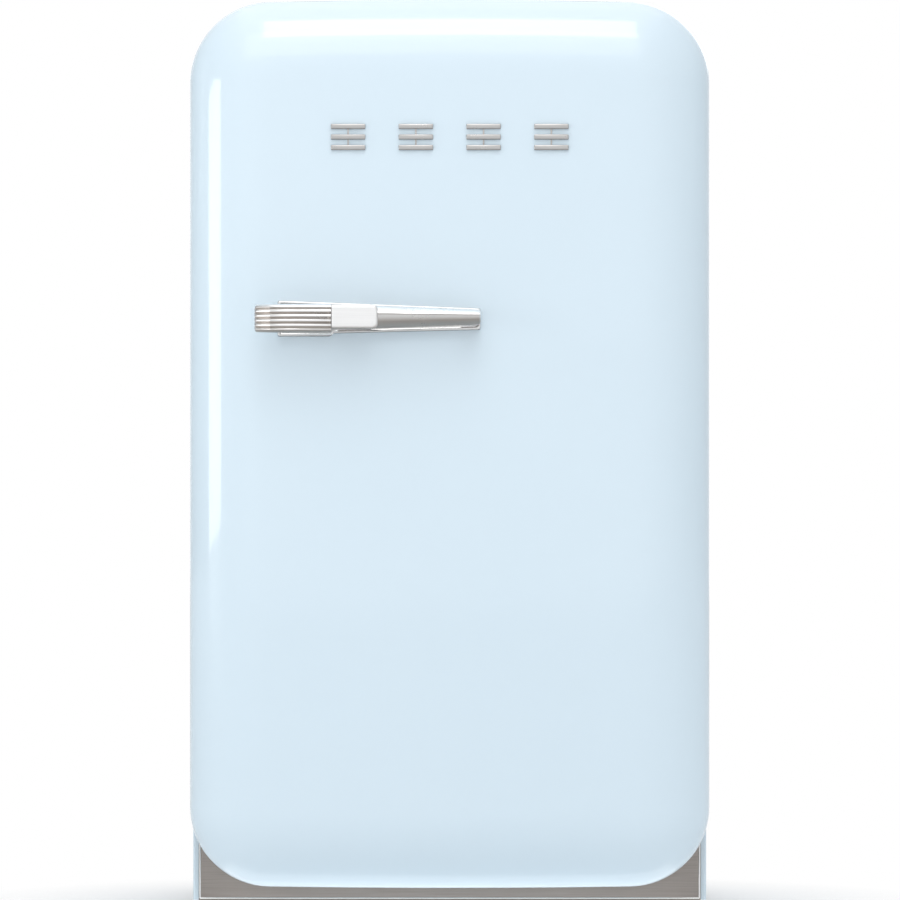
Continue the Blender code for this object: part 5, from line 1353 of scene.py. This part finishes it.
def makeSpacerBar():
    low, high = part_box("spacer_bar")
    end, ribs, face = spacer["foot"], spacer["ribs"], wrapHigh.y
    bm = bmesh.new()
    addBlock(bm, (low.x, low.y, low.z), (high.x, face - 0.0006, high.z), bevel=0.0016)
    addSideBlocks(bm, high.x, high.x - end, (low.y + 0.001, low.z), (high.y, high.z), 0.0022)
    start = low.x + end + spacer["ribMargin"]
    span = high.x - low.x - 2 * end - 2 * spacer["ribMargin"]
    for i in range(ribs):
        x = start + span * i / (ribs - 1)
        addBlock(bm, (x - 0.001, face - 0.002, low.z + 0.002),
                 (x + 0.001, face + 0.0002, high.z - 0.002), 0.0004)
    for z in (low.z + 0.0004, high.z - 0.0030):
        addBlock(bm, (low.x + end, face - 0.002, z), (high.x - end, face + 0.0002, z + 0.0026), bevel=0.0004)
    finishPiece("spacerBar", bm, "blackPlastic", "spacer_bar")


# feet
foot = {"grooves": 5, "threadPitch": 0.00125, "threadDepth": 0.0006, "threadRadius": 0.0040, "sides": 56}


def makeFoot(name, node, body, soles, grooves, tops):
    # sole, grooved flank and top; soles and tops give a share of the radius and a height
    low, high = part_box(node)
    radius = (high.x - low.x) / 2
    profile = [(radius * share, along) for share, along in soles]
    profile += [(radius - depth, along) for depth, along in grooves] + tops(radius, high.z - low.z)
    spot = (low + high) / 2
    bm = bmesh.new()
    addTurned(bm, (spot.x, spot.y, low.z), (0, 0, 1), profile, sides=foot["sides"])
    finishPiece(name, bm, "footRubber", node, body=body)


def makeStud(side):
    node = f"front_foot_stud_{side}"
    low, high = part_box(node)
    centre = middleOf(f"front_foot_pad_{side}")
    top = wrapLow.z - 0.0006
    pitch, depth = foot["threadPitch"], foot["threadDepth"]
    bm = bmesh.new()
    rings = []
    for shrink, z in ((0.0008, low.z), (0, low.z + 0.0005), (0, top - 0.0005), (0.0008, top)):
        rings.append(circleAt((centre.x, centre.y, z), (0, 0, 1), (high.x - low.x) / 2 - shrink, 6))
    addLoft(bm, rings)
    rings = []
    steps = int((high.z - top) / pitch * 6)
    circle = circleAt((0, 0, 0), (0, 0, 1), 1.0, 24)
    for step in range(steps + 1):
        z = top - 0.0004 + (high.z - top + 0.0004) * step / steps
        ring = []
        for i, spot in enumerate(circle):
            phase = ((z - top) / pitch + i / len(circle)) % 1
            reach = foot["threadRadius"] - depth * abs(2 * phase - 1)
            if step > steps - 4:
                reach = min(reach, 0.0034 - 0.0002 * (step - steps + 4))
            ring.append((centre.x + spot.x * reach, centre.y + spot.y * reach, z))
        rings.append(ring)
    addLoft(bm, rings)
    finishPiece(f"{side}FrontFootStud", bm, "pinSteel", node, body=f"{side}_stud")


def makeFeet():
    for side in ("left", "right"):
        grooves = []
        for along in (0.0012, 0.0022, 0.0032):
            grooves += [(0, along), (0.0004, along + 0.0003), (0, along + 0.0006)]
        makeFoot(f"{side}FrontFootPad", f"front_foot_pad_{side}", f"{side}_foot",
                 [(0.5, 0.0006), (0.6, 0), (0.72, 0), (0.76, 0.0005), (0.82, 0.0005), (0.86, 0), (0.93, 0),
                  (1, 0.0009)], grooves,
                 lambda radius, height: [(radius * 0.96, height * 0.68), (radius * 0.72, height * 0.90),
                                         (radius * 0.6, height)])
        makeStud(side)
        grooves = []
        for i in range(foot["grooves"]):
            along = 0.0022 + i * 0.0017
            grooves += [(0, along), (0, along + 0.0008), (0.0006, along + 0.0011)]
        makeFoot(f"{side}RearFoot", f"rear_foot_{side}", "cabinet",
                 [(0.5, 0.0006), (0.6, 0), (0.78, 0), (0.84, 0.0008)], grooves,
                 lambda radius, height: [(radius, height - 0.0006), (radius - 0.0004, height)])


# nodes whose shape stays as it is
kept = {"cabinet_floor": "zincSteel", "base_rail_left": "zincSteel", "base_rail_right": "zincSteel",
        "cabinet_foam": "foamCore", "door_foam": "foamCore", "boiler_insulation": "foamCore",
        "heater_cartridge": "pinSteel", "evaporator_tube": "blackSteel", "switch_magnet": "magnetIron",
        "door_switch": "blackPlastic"}

stages = {
    "the studio": (buildStudio,),
    "the door's outside": (makeDoorSkin, makeHandleBase, makeHandleGrip, makeHandleCap, makeBadge),
    "the cabinet's outside": (makeCabinetWrap, makePlinth),
    "the door's inside": (makeDoorLiner, makeGasket, makeHingeBushes, makeHinges, makeBins),
    "the cabinet's inside": (makeCavity, makeFrontFrame, makeShelves, makeEvaporator, makeControl),
    "the back and the feet": (makeCoolingUnit, makeRearPanel, makeTerminalBox, makeSpacerBar, makeFeet),
}
for stage, makers in stages.items():
    print("building", stage)
    for make in makers:
        make()
print("finishing the kept shapes")
for node, look in kept.items():
    dress(node, look)
